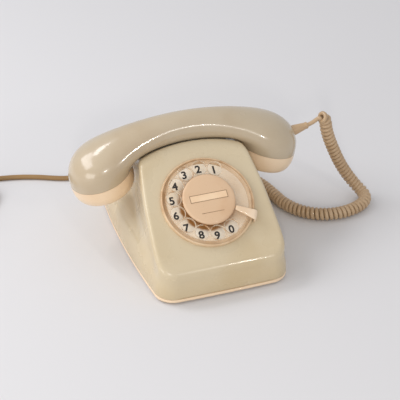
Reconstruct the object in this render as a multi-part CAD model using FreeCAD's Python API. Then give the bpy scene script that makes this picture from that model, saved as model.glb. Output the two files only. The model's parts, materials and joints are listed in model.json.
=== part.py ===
"""Desk telephone with a rotary dial: base, housing, dial mechanism, ringer, hook switch, handset and cords.

Frame: +X right (along the handset), +Y to the back, +Z up, origin on the floor under the middle of the base.
The dial's own frame has its origin on the sloping front panel, x to the right, y up the slope, z out of it.
All sizes are in millimetres.
"""
import FreeCAD, Part
import math
import os

V = FreeCAD.Vector

# ---- driving dimensions: the base and the housing ----
DEPTH = 226.0
HALF_DEPTH = DEPTH / 2
FRONT_HALF = 63.5          # half width of the base at the front
WAIST_HALF = 70.2          # half width of the base at its widest
REAR_HALF = 62.0
WALL = 2.6                 # housing wall
FOOT_H = 2.0
PLATE_T = 3.5              # base plate thickness, seen as the light rim under the housing
COVER_Z = FOOT_H + PLATE_T
SKIRT_TOP = 40.0           # the skirt's domed top, which the tower stands in
REAR_Y = 103.0             # where the tower's rear slope meets the skirt
STEP_IN = 0.6              # how far the tower stands inside the skirt's outline
PANEL_Y, PANEL_Z = -57.7, 69.7   # the dial's centre on the panel
PANEL_SLOPE = 35.6         # degrees from the horizontal
PANEL_TOP_Y = -7.0         # where the panel ends at the top lip
LIP_Z = 107.5              # the top of the lip in front of the grip
ARCH_HALF, ARCH_DROP = 80.0, 22.0   # how far the arched top falls, 80 mm from its middle

# ---- driving dimensions: the handset ----
CUP_X, CUP_Y, CUP_Z = 84.3, 12.0, 78.2   # centre of the right cup's seam
CUP_R = 31.0
CUP_TILT = 16.8            # degrees, the caps face inwards
CAP_H = 19.0
SHELL_T = 2.6
SPIGOT_GAP = 1.0            # room between a cap's spigot and the shell's narrowing bore
SPIGOT_H = 3.0
GRIP_TOP, GRIP_LOW, GRIP_HALF = 129.5, 100.5, 16.0
RELIEF_FROM, RELIEF_TO = V(113.0, CUP_Y, 87.0), V(129.0, CUP_Y, 90.5)
RELIEF_ALONG = (RELIEF_TO - RELIEF_FROM).normalize()
LIFT_GAP = 1.4             # room between the handset and its cradle

# ---- driving dimensions: the dial ----
BEZEL_R = 45.15
DISC_R = 41.0
HOLE_RING_R = 33.2
HOLE_R = 6.9
HOLE_COUNT = 10
DIGIT_PITCH = 360.0 / 14
FIRST_HOLE = 64.29         # degrees from +x, the hole of the digit 1
STOP_ANGLE = -25.4         # the edge of the finger stop that a finger meets
CENTRE_R = 25.4
LABEL_UP = 2.0              # the label sits above the disc's middle
SHAFT_R = 3.0
MAIN_TEETH, PINION_TEETH, MAIN_MODULE = 70, 10, 0.6
SECOND_TEETH, GOVERNOR_TEETH, SECOND_MODULE = 40, 10, 0.5
TOOTH_SHARE = 0.42         # tooth thickness over pitch, which leaves backlash
RUNNING = 0.05             # radial running clearance of a shaft

# ---- driving dimensions: the cords ----
LINE_D = 5.0
CURL_D = 13.0              # outer diameter of the curled cord
LEAD_D = 4.6
COIL_IN, COIL_OUT, COIL_H = 20.0, 35.0, 15.0
COIL_X, COIL_Y = -202.0, 131.0
BODY_GAP = 0.3             # gap between the handset's relief and the cord that stays behind
EXIT_Z = 12.0              # height of both cord outlets in the rear wall
LINE_X, CURL_X = -44.0, 34.0

os.makedirs("parts", exist_ok=True)


def save(name, shape):
    """Write one node as a STEP file."""
    shape.exportStep("parts/" + name + ".step")


def polygon(points):
    """Face from corner points that lie in one plane."""
    vectors = [V(*p) for p in points]
    return Part.Face(Part.makePolygon(vectors + [vectors[0]]))


def closed_wire(edges):
    return Part.Wire(Part.__sortEdges__([e.toShape() if hasattr(e, "toShape") else e for e in edges]))


def smooth(points):
    """Smooth curve through points."""
    curve = Part.BSplineCurve()
    curve.interpolate([V(*p) for p in points])
    return curve.toShape()


def line(a, b):
    return Part.LineSegment(V(*a), V(*b)).toShape()


def cylinder(r, h, at=(0, 0, 0), axis=(0, 0, 1)):
    return Part.makeCylinder(r, h, V(*at), V(*axis))


def box(low, high):
    return Part.makeBox(high[0] - low[0], high[1] - low[1], high[2] - low[2], V(*low))


def ring(r_out, r_in, z0, z1, x=0.0, y=0.0):
    return cylinder(r_out, z1 - z0, (x, y, z0)).cut(cylinder(r_in, z1 - z0, (x, y, z0)))


def revolved(profile):
    """Solid of revolution about Z from (r, z) corner points."""
    return polygon([(r, 0, z) for r, z in profile]).revolve(V(0, 0, 0), V(0, 0, 1), 360)


def joined(shapes):
    out = shapes[0]
    for s in shapes[1:]:
        out = out.fuse(s)
    return out.removeSplitter()


def group(shapes):
    return Part.makeCompound(shapes)


def mirrored(shape):
    return shape.mirror(V(0, 0, 0), V(1, 0, 0))


# ---- frames ----
slope = math.radians(PANEL_SLOPE)
DIAL_UP = V(0, math.cos(slope), math.sin(slope))
DIAL_OUT = V(0, -math.sin(slope), math.cos(slope))
DIAL_MATRIX = FreeCAD.Matrix(
    1, 0, 0, 0,
    0, DIAL_UP.y, DIAL_OUT.y, PANEL_Y,
    0, DIAL_UP.z, DIAL_OUT.z, PANEL_Z,
    0, 0, 0, 1,
)


def on_dial(shape):
    """Move a shape from the dial's frame into place."""
    out = shape.copy()
    out.transformShape(DIAL_MATRIX, False)
    return out


tilt = math.radians(CUP_TILT)
CUP_OUT = V(-math.sin(tilt), 0, -math.cos(tilt))      # out of the right cup, towards its cap
CUP_SIDE = V(math.cos(tilt), 0, -math.sin(tilt))


def on_right_cup(shape):
    """Move a shape from the cup's frame, z out through the cap, into the right cup."""
    out = shape.copy()
    out.transformShape(FreeCAD.Matrix(
        CUP_SIDE.x, 0, CUP_OUT.x, CUP_X,
        0, -1, 0, CUP_Y,
        CUP_SIDE.z, 0, CUP_OUT.z, CUP_Z,
        0, 0, 0, 1,
    ), False)
    return out


# ---- base and housing ----
def base_face(inset, z):
    """Plan outline of the base: slightly bowed front and rear, convex sides."""
    def arc(a, m, b):
        return Part.Arc(V(*a, z), V(*m, z), V(*b, z)).toShape()
    f, w, r, d = FRONT_HALF - inset, WAIST_HALF - inset, REAR_HALF - inset, HALF_DEPTH - inset
    bow = 1.2
    front = arc((-f, -d + bow), (0, -d), (f, -d + bow))
    right = arc((f, -d + bow), (w, -2), (r, d - bow))
    rear = arc((r, d - bow), (0, d), (-r, d - bow))
    left = arc((-r, d - bow), (-w, -2), (-f, -d + bow))
    return Part.Face(Part.Wire([front, right, rear, left]))


def rounded_base(inset, z0, z1, front_r, rear_r):
    """The base outline as a prism with rounded corners."""
    solid = base_face(inset, z0).extrude(V(0, 0, z1 - z0))
    upright = [e for e in solid.Edges if abs(e.BoundBox.ZLength - (z1 - z0)) < 0.01]
    front = [e for e in upright if e.BoundBox.YMin < 0]
    solid = solid.makeFillet(max(front_r - inset, 2), front)
    upright = [e for e in solid.Edges if abs(e.BoundBox.ZLength - (z1 - z0)) < 0.01
               and e.BoundBox.XLength < 0.01 and e.BoundBox.YLength < 0.01]
    rear = [e for e in upright if e.BoundBox.YMin > HALF_DEPTH - inset - 3]
    return solid.makeFillet(max(rear_r - inset, 2), rear)


def panel_z(y):
    return PANEL_Z + (y - PANEL_Y) * math.tan(slope)


def skirt(inset):
    """Lower part of the housing, a dome that the tower stands in."""
    prism = rounded_base(inset, COVER_Z, SKIRT_TOP + 2, 16, 24)
    top = SKIRT_TOP - inset
    w = WAIST_HALF + 0.4 - inset
    dome = closed_wire([
        line((-w, 0, COVER_Z), (w, 0, COVER_Z)),
        smooth([(w, 0, COVER_Z), (w - 0.6, 0, 16), (w - 4.5, 0, top - 10), (w - 17, 0, top)]),
        line((w - 17, 0, top), (-w + 17, 0, top)),
        smooth([(-w + 17, 0, top), (-w + 4.5, 0, top - 10), (-w + 0.6, 0, 16), (-w, 0, COVER_Z)]),
    ])
    across = Part.Face(dome).extrude(V(0, DEPTH + 20, 0))
    across.translate(V(0, -HALF_DEPTH - 10, 0))
    d = HALF_DEPTH - inset
    nose = polygon([
        (0, -d, COVER_Z), (0, d, COVER_Z), (0, d - 2.5, 26), (0, d - 12, top + 2), (0, -d + 20, top + 2),
        (0, -d + 3, panel_z(-d + 3) - inset / math.cos(slope)),
    ]).extrude(V(160, 0, 0))
    nose.translate(V(-80, 0, 0))
    return prism.common(across).common(nose)


def tower(inset):
    """Upper part: upright waisted sides, the sloping panel, the arched top and the slope at the back."""
    side = [(61.6, -112.0), (63.0, -93.0), (61.6, -69.0), (59.6, -48.0), (56.6, -30.0), (54.4, -18.0),
            (51.2, -2.0), (48.8, 14.0), (50.2, 34.0), (53.4, 60.0), (55.0, 84.0), (54.0, 106.0)]
    right = [(x - inset, y, COVER_Z) for x, y in side]
    left = [(-x, y, z) for x, y, z in reversed(right)]
    plan = closed_wire([smooth(right), line(right[-1], left[0]), smooth(left), line(left[-1], right[0])])
    prism = Part.Face(plan).extrude(V(0, 0, LIP_Z))
    down = inset / math.cos(slope)
    lip = LIP_Z - inset
    front_y = -HALF_DEPTH + 1.8 + inset
    profile = polygon([
        (0, front_y, COVER_Z), (0, REAR_Y + 3 - inset, COVER_Z), (0, REAR_Y - inset, 44 - inset),
        (0, 48, 100 - inset), (0, 36, lip), (0, PANEL_TOP_Y + 2.5, lip),
        (0, PANEL_TOP_Y, panel_z(PANEL_TOP_Y) - down), (0, front_y, panel_z(front_y) - down),
    ]).extrude(V(160, 0, 0))
    profile.translate(V(-80, 0, 0))
    h, low = ARCH_HALF, lip - ARCH_DROP
    arch = closed_wire([
        line((-h, 0, COVER_Z), (h, 0, COVER_Z)), line((h, 0, COVER_Z), (h, 0, low)),
        Part.Arc(V(h, 0, low), V(0, 0, lip), V(-h, 0, low)), line((-h, 0, low), (-h, 0, COVER_Z)),
    ])
    arched = Part.Face(arch).extrude(V(0, DEPTH + 20, 0))
    arched.translate(V(0, -HALF_DEPTH - 10, 0))
    inside = rounded_base(inset + STEP_IN, COVER_Z, LIP_Z, 16, 24)
    return prism.common(profile).common(arched).common(inside)


def housing_block(inset):
    return skirt(inset).fuse(tower(inset)).removeSplitter()


# ---- handset ----
def handset_stations():
    """(outer point, inner point, half width) of the right half, from the seam to the middle of the grip."""
    seam_out = (CUP_X + CUP_R * CUP_SIDE.x, CUP_Z + CUP_R * CUP_SIDE.z)
    seam_in = (CUP_X - CUP_R * CUP_SIDE.x, CUP_Z - CUP_R * CUP_SIDE.z)
    return [
        (seam_out, seam_in, CUP_R),
        ((115.2, 80.5), (52.8, 91.0), 31.4),
        ((111.8, 93.0), (50.0, 94.0), 30.7),
        ((102.4, 103.6), (46.0, 96.2), 28.5),
        ((86.6, 112.4), (40.5, 98.0), 25.0),
        ((65.0, 120.0), (32.0, 99.3), 21.2),
        ((38.0, 126.2), (19.0, 100.2), 17.8),
    ]


def section(outer, inner, half, grow):
    """Closed elliptic section between two points of the handset's outline, as two halves."""
    centre = V((outer[0] + inner[0]) / 2, CUP_Y, (outer[1] + inner[1]) / 2)
    along = V((outer[0] - inner[0]) / 2, 0, (outer[1] - inner[1]) / 2)
    along = along * ((along.Length + grow) / along.Length)
    across = V(0, half + grow, 0)

    def half_curve(start):
        points = []
        for i in range(13):
            a = start + math.pi * i / 12
            points.append(centre + along * math.cos(a) + across * math.sin(a))
        curve = Part.BSplineCurve()
        first = across * math.cos(start)
        curve.interpolate(Points=points, InitialTangent=first, FinalTangent=first * -1)
        return curve.toShape()
    return Part.Wire([half_curve(0), half_curve(math.pi)])


def handset_block(grow, past_seam=0.0):
    """The handset's body, grown by an offset and made longer past each seam."""
    stations = handset_stations()
    if past_seam:
        shift = (CUP_OUT.x * past_seam, CUP_OUT.z * past_seam)
        (ox, oz), (ix, iz), half = stations[0]
        stations.insert(0, ((ox + shift[0], oz + shift[1]), (ix + shift[0], iz + shift[1]), half))
    right = [section(o, i, h, grow) for o, i, h in stations]
    middle = [section((0, GRIP_TOP), (0, GRIP_LOW), GRIP_HALF, grow)]
    left = [section((-o[0], o[1]), (-i[0], i[1]), h, grow) for o, i, h in reversed(stations)]
    return Part.makeLoft(right + middle + left, True, False)


def cap_profile_solid():
    """Outer shape of a cap, with its spigot, in the cup's frame."""
    edge = Part.BSplineCurve()
    edge.interpolate([V(CUP_R, 0, 0.3), V(CUP_R + 0.1, 0, 6.5), V(CUP_R - 1.0, 0, 13.0),
                      V(CUP_R - 4.4, 0, CAP_H - 0.7), V(CUP_R - 9.5, 0, CAP_H)])
    wire = closed_wire([
        edge, line((CUP_R - 9.5, 0, CAP_H), (0, 0, CAP_H - 1.8)), line((0, 0, CAP_H - 1.8), (0, 0, 0.3)),
        line((0, 0, 0.3), (CUP_R, 0, 0.3)),
    ])
    return Part.Face(wire).revolve(V(0, 0, 0), V(0, 0, 1), 360)


def cap(hole_rings):
    """Screw cap of the ear or mouth side: a dish with a threaded spigot and sound holes."""
    shell = cap_profile_solid()
    shell = shell.cut(cylinder(CUP_R - 2.4, CAP_H - 6.0, (0, 0, 0.3)))
    bore_r = CUP_R - SHELL_T
    spigot = ring(bore_r - SPIGOT_GAP, bore_r - SPIGOT_GAP - 1.8, -SPIGOT_H, 0.3)
    shell = shell.fuse(ring(CUP_R - 2.0, bore_r - SPIGOT_GAP - 1.8, 0.3, 2.0)).fuse(spigot)
    holes = [cylinder(1.3, 10, (0, 0, CAP_H - 7))]
    for count, r in hole_rings:
        for i in range(count):
            a = 2 * math.pi * i / count
            holes.append(cylinder(1.3, 10, (r * math.cos(a), r * math.sin(a), CAP_H - 7)))
    return shell.cut(group(holes)).removeSplitter()


handset_outer = handset_block(0.0)
handset_shell = handset_outer.cut(handset_block(-SHELL_T, past_seam=6.0))
relief_hole = Part.makeCylinder(4.0, 14, RELIEF_FROM - RELIEF_ALONG * 8, RELIEF_ALONG)
handset_shell = handset_shell.cut(relief_hole)
save("handset_shell", handset_shell)
ear_cap = mirrored(on_right_cup(cap([(6, 5.0), (12, 10.0)])))
mouth_cap = on_right_cup(cap([(8, 6.5), (8, 12.5)]))
save("ear_cap", ear_cap)
save("mouth_cap", mouth_cap)


def capsule(r, back_r):
    """Sound capsule: a shallow can with a smaller back."""
    return revolved([(0, 9.0), (r, 9.0), (r, 2.0), (back_r, 1.0), (back_r, -4.5), (0, -4.5)])


save("receiver_capsule", mirrored(on_right_cup(capsule(23.5, 15.0))))
save("transmitter_capsule", on_right_cup(capsule(24.5, 17.0)))

# ---- housing cover: outer less inner, the cradle, the dial opening and the plunger holes ----
PLUNGER_X, PLUNGER_R = 37.0, 3.4
BOSS_TOP = 95.0             # the plungers' guides end inside the cradle's wall
outer = housing_block(0.0)
cradle = handset_block(LIFT_GAP)
cradle_skin = handset_block(LIFT_GAP + WALL)
inner = housing_block(WALL).cut(cradle_skin)
cover = outer.cut(cradle).cut(inner)
cover = cover.cut(on_dial(cylinder(41.6, 14, (0, 0, -12))))
for sx in (-1, 1):
    cover = cover.cut(cylinder(PLUNGER_R + RUNNING, 60, (sx * PLUNGER_X, CUP_Y, 60)))
    boss = ring(PLUNGER_R + 2.2, PLUNGER_R + RUNNING, 78, BOSS_TOP, sx * PLUNGER_X, CUP_Y)
    cover = cover.fuse(boss)
for x in (LINE_X, CURL_X):
    cover = cover.cut(cylinder(4.2, 12, (x, HALF_DEPTH - 8, EXIT_Z), (0, 1, 0)))
save("housing_cover", cover)


# ---- base plate, feet and fixings ----
FOOT_SPOTS = [(-52, -94), (52, -94), (-48, 92), (48, 92)]
SCREW_SPOTS = [(-38, -99), (38, -99), (-30, 99), (30, 99)]
WHEEL_Y, WHEEL_R = 62.0, 10.0

plate = rounded_base(1.2, FOOT_H, COVER_Z, 16, 24)
plate = plate.cut(cylinder(WHEEL_R + 0.4, PLATE_T, (0, WHEEL_Y, FOOT_H)))
for x, y in FOOT_SPOTS:
    plate = plate.cut(cylinder(4.0, 1.5, (x, y, FOOT_H)))
for x, y in SCREW_SPOTS:
    plate = plate.cut(cylinder(1.6, PLATE_T, (x, y, FOOT_H)))
    plate = plate.cut(cylinder(3.2, 1.4, (x, y, FOOT_H)))
save("base_plate", plate)

foot = revolved([(0, 0), (6.0, 0), (7.0, 1.0), (7.0, 2.0), (4.0, 2.0), (4.0, 3.5), (0, 3.5)])
feet = []
for x, y in FOOT_SPOTS:
    one = foot.copy()
    one.translate(V(x, y, 0))
    feet.append(one)
save("rubber_feet", group(feet))

screw = revolved([(0, FOOT_H + 0.2), (3.1, FOOT_H + 0.2), (3.1, FOOT_H + 1.4), (1.5, FOOT_H + 1.4),
                  (1.5, 13.0), (0, 13.0)])
screws = []
for x, y in SCREW_SPOTS:
    one = screw.copy()
    one.translate(V(x, y, 0))
    screws.append(one)
save("base_screws", group(screws))

# ---- ringer volume wheel, which turns in the base plate ----
wheel_rim = cylinder(WHEEL_R, 2.6, (0, WHEEL_Y, FOOT_H + 0.4))
flutes = []
for i in range(24):
    a = 2 * math.pi * i / 24
    flutes.append(cylinder(0.7, 2.6, (WHEEL_R * math.cos(a), WHEEL_Y + WHEEL_R * math.sin(a), FOOT_H + 0.4)))
wheel = wheel_rim.cut(group(flutes)).fuse(cylinder(2.0, 5.0, (0, WHEEL_Y, FOOT_H + 3.0)))
save("volume_wheel", wheel.removeSplitter())
holder = box((-14, WHEEL_Y - 5, COVER_Z), (14, WHEEL_Y + 5, COVER_Z + 2.0))
save("wheel_bracket", holder.cut(cylinder(2.0 + RUNNING, 3, (0, WHEEL_Y, COVER_Z))))

# ---- ringer: yoke, coils, gongs on posts, clapper ----
GONG_X, GONG_Y, GONG_R, GONG_Z = 27.0, 74.0, 21.3, 20.0
PIVOT_Y, BALL_R = 46.0, 3.2
yoke = box((-26, 17, COVER_Z), (26, 58, COVER_Z + 2)).cut(box((-15, 55, COVER_Z), (15, 59, COVER_Z + 2)))
yoke = joined([yoke, box((-24, 17, COVER_Z + 2), (24, 20, 30)), box((-3, 43, 32), (3, 49, 34)),
               box((-3, 17, 30), (3, 49, 32.0))])
yoke = yoke.cut(cylinder(1.5 + RUNNING, 10, (0, PIVOT_Y, 28)))
save("ringer_yoke", yoke)
coils = []
for sx in (-1, 1):
    bobbin = cylinder(8.5, 20, (sx * 13, 20, 19), (0, 1, 0))
    core = cylinder(3.0, 22, (sx * 13, 20, 19), (0, 1, 0))
    cheek = cylinder(10.0, 1.2, (sx * 13, 20, 19), (0, 1, 0))
    cheek_b = cylinder(10.0, 1.2, (sx * 13, 38.8, 19), (0, 1, 0))
    coils.append(joined([bobbin, core, cheek, cheek_b]))
save("ringer_coils", group(coils))


def gong(x, r, drop):
    """Bell dome with its post hole."""
    outer_rim = Part.Arc(V(r, 0, 0), V(r * 0.86, 0, 6.6), V(r * 0.5, 0, 9.4))
    inner_rim = Part.Arc(V(r * 0.5, 0, 8.2), V(r * 0.82, 0, 5.8), V(r - 1.3, 0, 0))
    wire = closed_wire([
        outer_rim, line((r * 0.5, 0, 9.4), (2.1, 0, 9.8)), line((2.1, 0, 9.8), (2.1, 0, 8.6)),
        line((2.1, 0, 8.6), (r * 0.5, 0, 8.2)), inner_rim, line((r - 1.3, 0, 0), (r, 0, 0)),
    ])
    dome = Part.Face(wire).revolve(V(0, 0, 0), V(0, 0, 1), 360)
    dome.translate(V(x, GONG_Y, GONG_Z - drop))
    return dome


save("gong_left", gong(-GONG_X, GONG_R, 0.0))
save("gong_right", gong(GONG_X, GONG_R, 1.0))
posts = []
for sx, drop in ((-1, 0.0), (1, 1.0)):
    top = GONG_Z - drop
    post = revolved([(0, COVER_Z), (5, COVER_Z), (4, top + 8.4), (2.0, top + 8.4), (2.0, top + 9.8),
                     (4.5, top + 9.9), (4.0, top + 12.0), (0, top + 12.0)])
    post.translate(V(sx * GONG_X, GONG_Y, 0))
    posts.append(post)
save("gong_posts", group(posts))

armature = box((-20, PIVOT_Y - 1.5, 15), (20, PIVOT_Y + 1.5, 23))
clapper = joined([
    armature, cylinder(1.5, 11.5, (0, PIVOT_Y, 22)),
    cylinder(0.9, 73.5 - PIVOT_Y, (0, PIVOT_Y, 20.5), (0, 1, 0)),
    Part.makeSphere(BALL_R, V(0, GONG_Y, 20.5)),
])
save("clapper", clapper)

# ---- circuit board and what is on it ----
BOARD_Z = 10.0
board = box((-44, -84, BOARD_Z), (44, 8, BOARD_Z + 1.6))
standoffs = [cylinder(2.5, BOARD_Z - COVER_Z, (x, y, COVER_Z)) for x in (-38, 38) for y in (-76, 0)]
save("circuit_board", board)
save("board_standoffs", group(standoffs))
coil_core = box((-40, -34, BOARD_Z + 1.6), (-14, -10, BOARD_Z + 22))
coil_winding = box((-36, -38, BOARD_Z + 6), (-18, -6, BOARD_Z + 18))
save("line_transformer", joined([coil_core, coil_winding]))
caps = [box((14, -32, BOARD_Z + 1.6), (38, -22, BOARD_Z + 16)),
        box((14, -16, BOARD_Z + 1.6), (34, -8, BOARD_Z + 12)),
        cylinder(4.0, 22, (-10, -60, BOARD_Z + 5.7), (1, 0, 0))]
save("capacitors", group(caps))
terminal = box((-30, -4, BOARD_Z + 1.6), (30, 5, BOARD_Z + 9))
terminal = terminal.cut(group([cylinder(1.8, 6, (-25 + 10 * i, 0.5, BOARD_Z + 6)) for i in range(6)]))
save("terminal_block", terminal)

# ---- hook switch: plungers, fork lever, pin, bracket, spring and contacts ----
LEVER_Y, LEVER_Z = 47.0, 60.0
PLUNGER_TOP = 98.0
REST_GAP = 0.3
ARM_T = 2.6
for name, sx in (("plunger_left", -1), ("plunger_right", 1)):
    rod = cylinder(PLUNGER_R, PLUNGER_TOP - 60, (sx * PLUNGER_X, CUP_Y, 60))
    tip = handset_block(REST_GAP)
    save(name, rod.cut(tip).fuse(cylinder(PLUNGER_R + 1.6, 1.6, (sx * PLUNGER_X, CUP_Y, 66))).removeSplitter())
ARM_TOP = LEVER_Z - REST_GAP
ARM_LOW = ARM_TOP - ARM_T
ARM_HALF = 3.5
BAR_Y = LEVER_Y - 13        # the bar passes in front of the bracket's ears
arms = [box((sx * PLUNGER_X - ARM_HALF, CUP_Y - 1.2, ARM_LOW), (sx * PLUNGER_X + ARM_HALF, BAR_Y + 6, ARM_TOP))
        for sx in (-1, 1)]
bar = box((-PLUNGER_X - ARM_HALF, BAR_Y, ARM_LOW), (PLUNGER_X + ARM_HALF, BAR_Y + 6, ARM_TOP))
knuckle = cylinder(3.6, 24, (-12, LEVER_Y, LEVER_Z), (1, 0, 0))
tongue = box((-12, BAR_Y, ARM_LOW), (12, LEVER_Y, ARM_TOP))
PIN_R = 1.5
lever = joined(arms + [bar, knuckle, tongue])
lever = lever.cut(cylinder(PIN_R + RUNNING, 30, (-15, LEVER_Y, LEVER_Z), (1, 0, 0)))
save("hook_lever", lever)
save("hook_pivot_pin", cylinder(PIN_R, 34, (-17, LEVER_Y, LEVER_Z), (1, 0, 0)))
ears = [box((sx * 14.5 - 1.0, LEVER_Y - 5, 36), (sx * 14.5 + 1.0, LEVER_Y + 5, LEVER_Z - 3)) for sx in (-1, 1)]
ears += [cylinder(4.5, 2, (sx * 14.5 - 1.0, LEVER_Y, LEVER_Z), (1, 0, 0)) for sx in (-1, 1)]
legs = [box((sx * 28.5 - 1.5, LEVER_Y - 5, COVER_Z), (sx * 28.5 + 1.5, LEVER_Y + 5, 36.0)) for sx in (-1, 1)]
shelf = box((-30, LEVER_Y - 5, 34.0), (30, LEVER_Y + 5, 36.0))
bracket = joined(ears + [shelf] + legs)
bracket = bracket.cut(cylinder(PIN_R, 40, (-20, LEVER_Y, LEVER_Z), (1, 0, 0)))
save("hook_bracket", bracket)
hook_spring = Part.makeHelix(1.6, 11.0, 2.6)
wire_profile = Part.Wire(Part.makeCircle(0.45, V(2.6, 0, 0), V(0, 1, 0)))
spring = Part.Wire(hook_spring).makePipeShell([wire_profile], True, True)
spring.translate(V(22.0, LEVER_Y, 36.6))
save("hook_spring", spring)
leaves = []
for i in range(4):
    y = LEVER_Y - 30 + 5 * i
    leaves.append(box((-3, y, 36.2), (3, y + 0.5, 52.0)))
    leaves.append(box((-4, y - 1.9, 36.2), (4, y - 0.1, 42.0)))
contact_base = box((-6, LEVER_Y - 34, 34.0), (6, LEVER_Y - 5, 36.0))
save("hook_contacts", group([contact_base] + leaves))


# ---- dial, all in the dial's frame ----
def gear(teeth, module, z0, z1, addendum, phase):
    """Spur gear with involute flanks; phase is the angle of one tooth's middle, in degrees."""
    pitch_r = teeth * module / 2
    base_r = pitch_r * math.cos(math.radians(20))
    tip_r, root_r = pitch_r + addendum * module, pitch_r - 1.25 * module
    involute_at = math.tan(math.radians(20)) - math.radians(20)
    half_pitch = math.pi * TOOTH_SHARE / teeth
    flank = []
    steps = 5
    start = max(base_r, root_r)
    for i in range(steps + 1):
        r = start + (tip_r - start) * i / steps
        pressure = math.acos(min(1.0, base_r / r))
        flank.append((r, half_pitch + involute_at - (math.tan(pressure) - pressure)))
    if root_r < base_r:
        flank.insert(0, (root_r, flank[0][1]))
    points = []
    for k in range(teeth):
        middle = math.radians(phase) + 2 * math.pi * k / teeth
        points += [(r * math.cos(middle - a), r * math.sin(middle - a), z0) for r, a in flank]
        points += [(r * math.cos(middle + a), r * math.sin(middle + a), z0) for r, a in reversed(flank)]
    return polygon(points).extrude(V(0, 0, z1 - z0))


MAIN_Z = (-9.0, -7.0)
SECOND_Z = (-18.0, -16.0)
BRIDGE_Z = (-28.0, -26.5)
PLATE_Z = (-3.6, -1.6)
DISC_Z = (4.2, 6.4)
PINION_AT = (0.0, -(MAIN_TEETH + PINION_TEETH) * MAIN_MODULE / 2)
GOVERNOR_ANGLE = -20.0
GOVERNOR_REACH = (SECOND_TEETH + GOVERNOR_TEETH) * SECOND_MODULE / 2
GOVERNOR_AT = (PINION_AT[0] + GOVERNOR_REACH * math.cos(math.radians(GOVERNOR_ANGLE)),
               PINION_AT[1] + GOVERNOR_REACH * math.sin(math.radians(GOVERNOR_ANGLE)))
ARBOR_R = 1.2
MECHANISM_R = 39.0
POST_R = 34.0


def polar(r, degrees, z=0.0):
    a = math.radians(degrees)
    return (r * math.cos(a), r * math.sin(a), z)


def shifted(shape, x, y):
    shape.translate(V(x, y, 0))
    return shape


bezel = revolved([(39.4, -7), (41.2, -7), (41.2, 0), (BEZEL_R, 0), (BEZEL_R, 2.2), (44.4, 3.3), (43.4, 3.7),
                  (42.2, 3.5), (41.4, 2.6), (39.4, 1.0)])
save("dial_bezel", on_dial(bezel))
number_ring = revolved([(20, PLATE_Z[1]), (39.3, PLATE_Z[1]), (39.3, 0.9), (24, 0.5), (20, 0.5)])
save("number_ring", on_dial(number_ring))

base_disc = cylinder(MECHANISM_R, 2.0, (0, 0, PLATE_Z[0])).cut(cylinder(SHAFT_R + RUNNING, 3, (0, 0, PLATE_Z[0])))
for x, y in (PINION_AT, GOVERNOR_AT):
    base_disc = base_disc.cut(cylinder(ARBOR_R + RUNNING, 3, (x, y, PLATE_Z[0])))
save("dial_plate", on_dial(base_disc))
posts = [cylinder(2.2, PLATE_Z[0] - BRIDGE_Z[1], polar(POST_R, a, BRIDGE_Z[1])) for a in (90, 210, 330)]
save("dial_posts", on_dial(group(posts)))
bridge = cylinder(37, 1.5, (0, 0, BRIDGE_Z[0])).cut(cylinder(SHAFT_R + RUNNING, 2, (0, 0, BRIDGE_Z[0])))
for x, y in (PINION_AT, GOVERNOR_AT):
    bridge = bridge.cut(cylinder(ARBOR_R + RUNNING, 2, (x, y, BRIDGE_Z[0])))
for a in (30, 150):
    bridge = bridge.cut(cylinder(9, 2, polar(22, a, BRIDGE_Z[0])))
save("dial_bridge", on_dial(bridge))

finger_disc = cylinder(DISC_R, DISC_Z[1] - DISC_Z[0], (0, 0, DISC_Z[0]))
finger_disc = finger_disc.makeChamfer(0.5, [finger_disc.Edges[0], finger_disc.Edges[2]])
holes = [cylinder(HOLE_R, 4, polar(HOLE_RING_R, FIRST_HOLE + DIGIT_PITCH * i, 3)) for i in range(HOLE_COUNT)]
finger_disc = finger_disc.cut(group(holes)).cut(cylinder(SHAFT_R, 4, (0, 0, 3)))
save("finger_disc", on_dial(finger_disc))
centre_disc = revolved([(0, DISC_Z[1]), (CENTRE_R, DISC_Z[1]), (CENTRE_R, DISC_Z[1] + 1.4),
                        (CENTRE_R - 0.8, DISC_Z[1] + 2.4), (CENTRE_R - 2.4, DISC_Z[1] + 2.8), (0, DISC_Z[1] + 3.0)])
label_z = DISC_Z[1] + 2.4
centre_disc = centre_disc.cut(box((-18, LABEL_UP - 3.2, label_z), (18, LABEL_UP + 3.2, label_z + 2)))
save("centre_disc", on_dial(centre_disc))
save("label_card", on_dial(box((-17.9, LABEL_UP - 3.1, label_z), (17.9, LABEL_UP + 3.1, label_z + 0.4))))
shaft = cylinder(SHAFT_R, DISC_Z[1] + 29.0, (0, 0, -29.0)).fuse(cylinder(9, 1.6, (0, 0, DISC_Z[0] - 1.6)))
save("dial_shaft", on_dial(shaft.removeSplitter()))
main_gear = gear(MAIN_TEETH, MAIN_MODULE, MAIN_Z[0], MAIN_Z[1], 0.55, -90.0)
main_gear = main_gear.cut(cylinder(SHAFT_R, 4, (0, 0, -10)))
for i in range(5):
    main_gear = main_gear.cut(cylinder(4.2, 4, polar(12, 72 * i, -10)))
save("main_gear", on_dial(main_gear))

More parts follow.
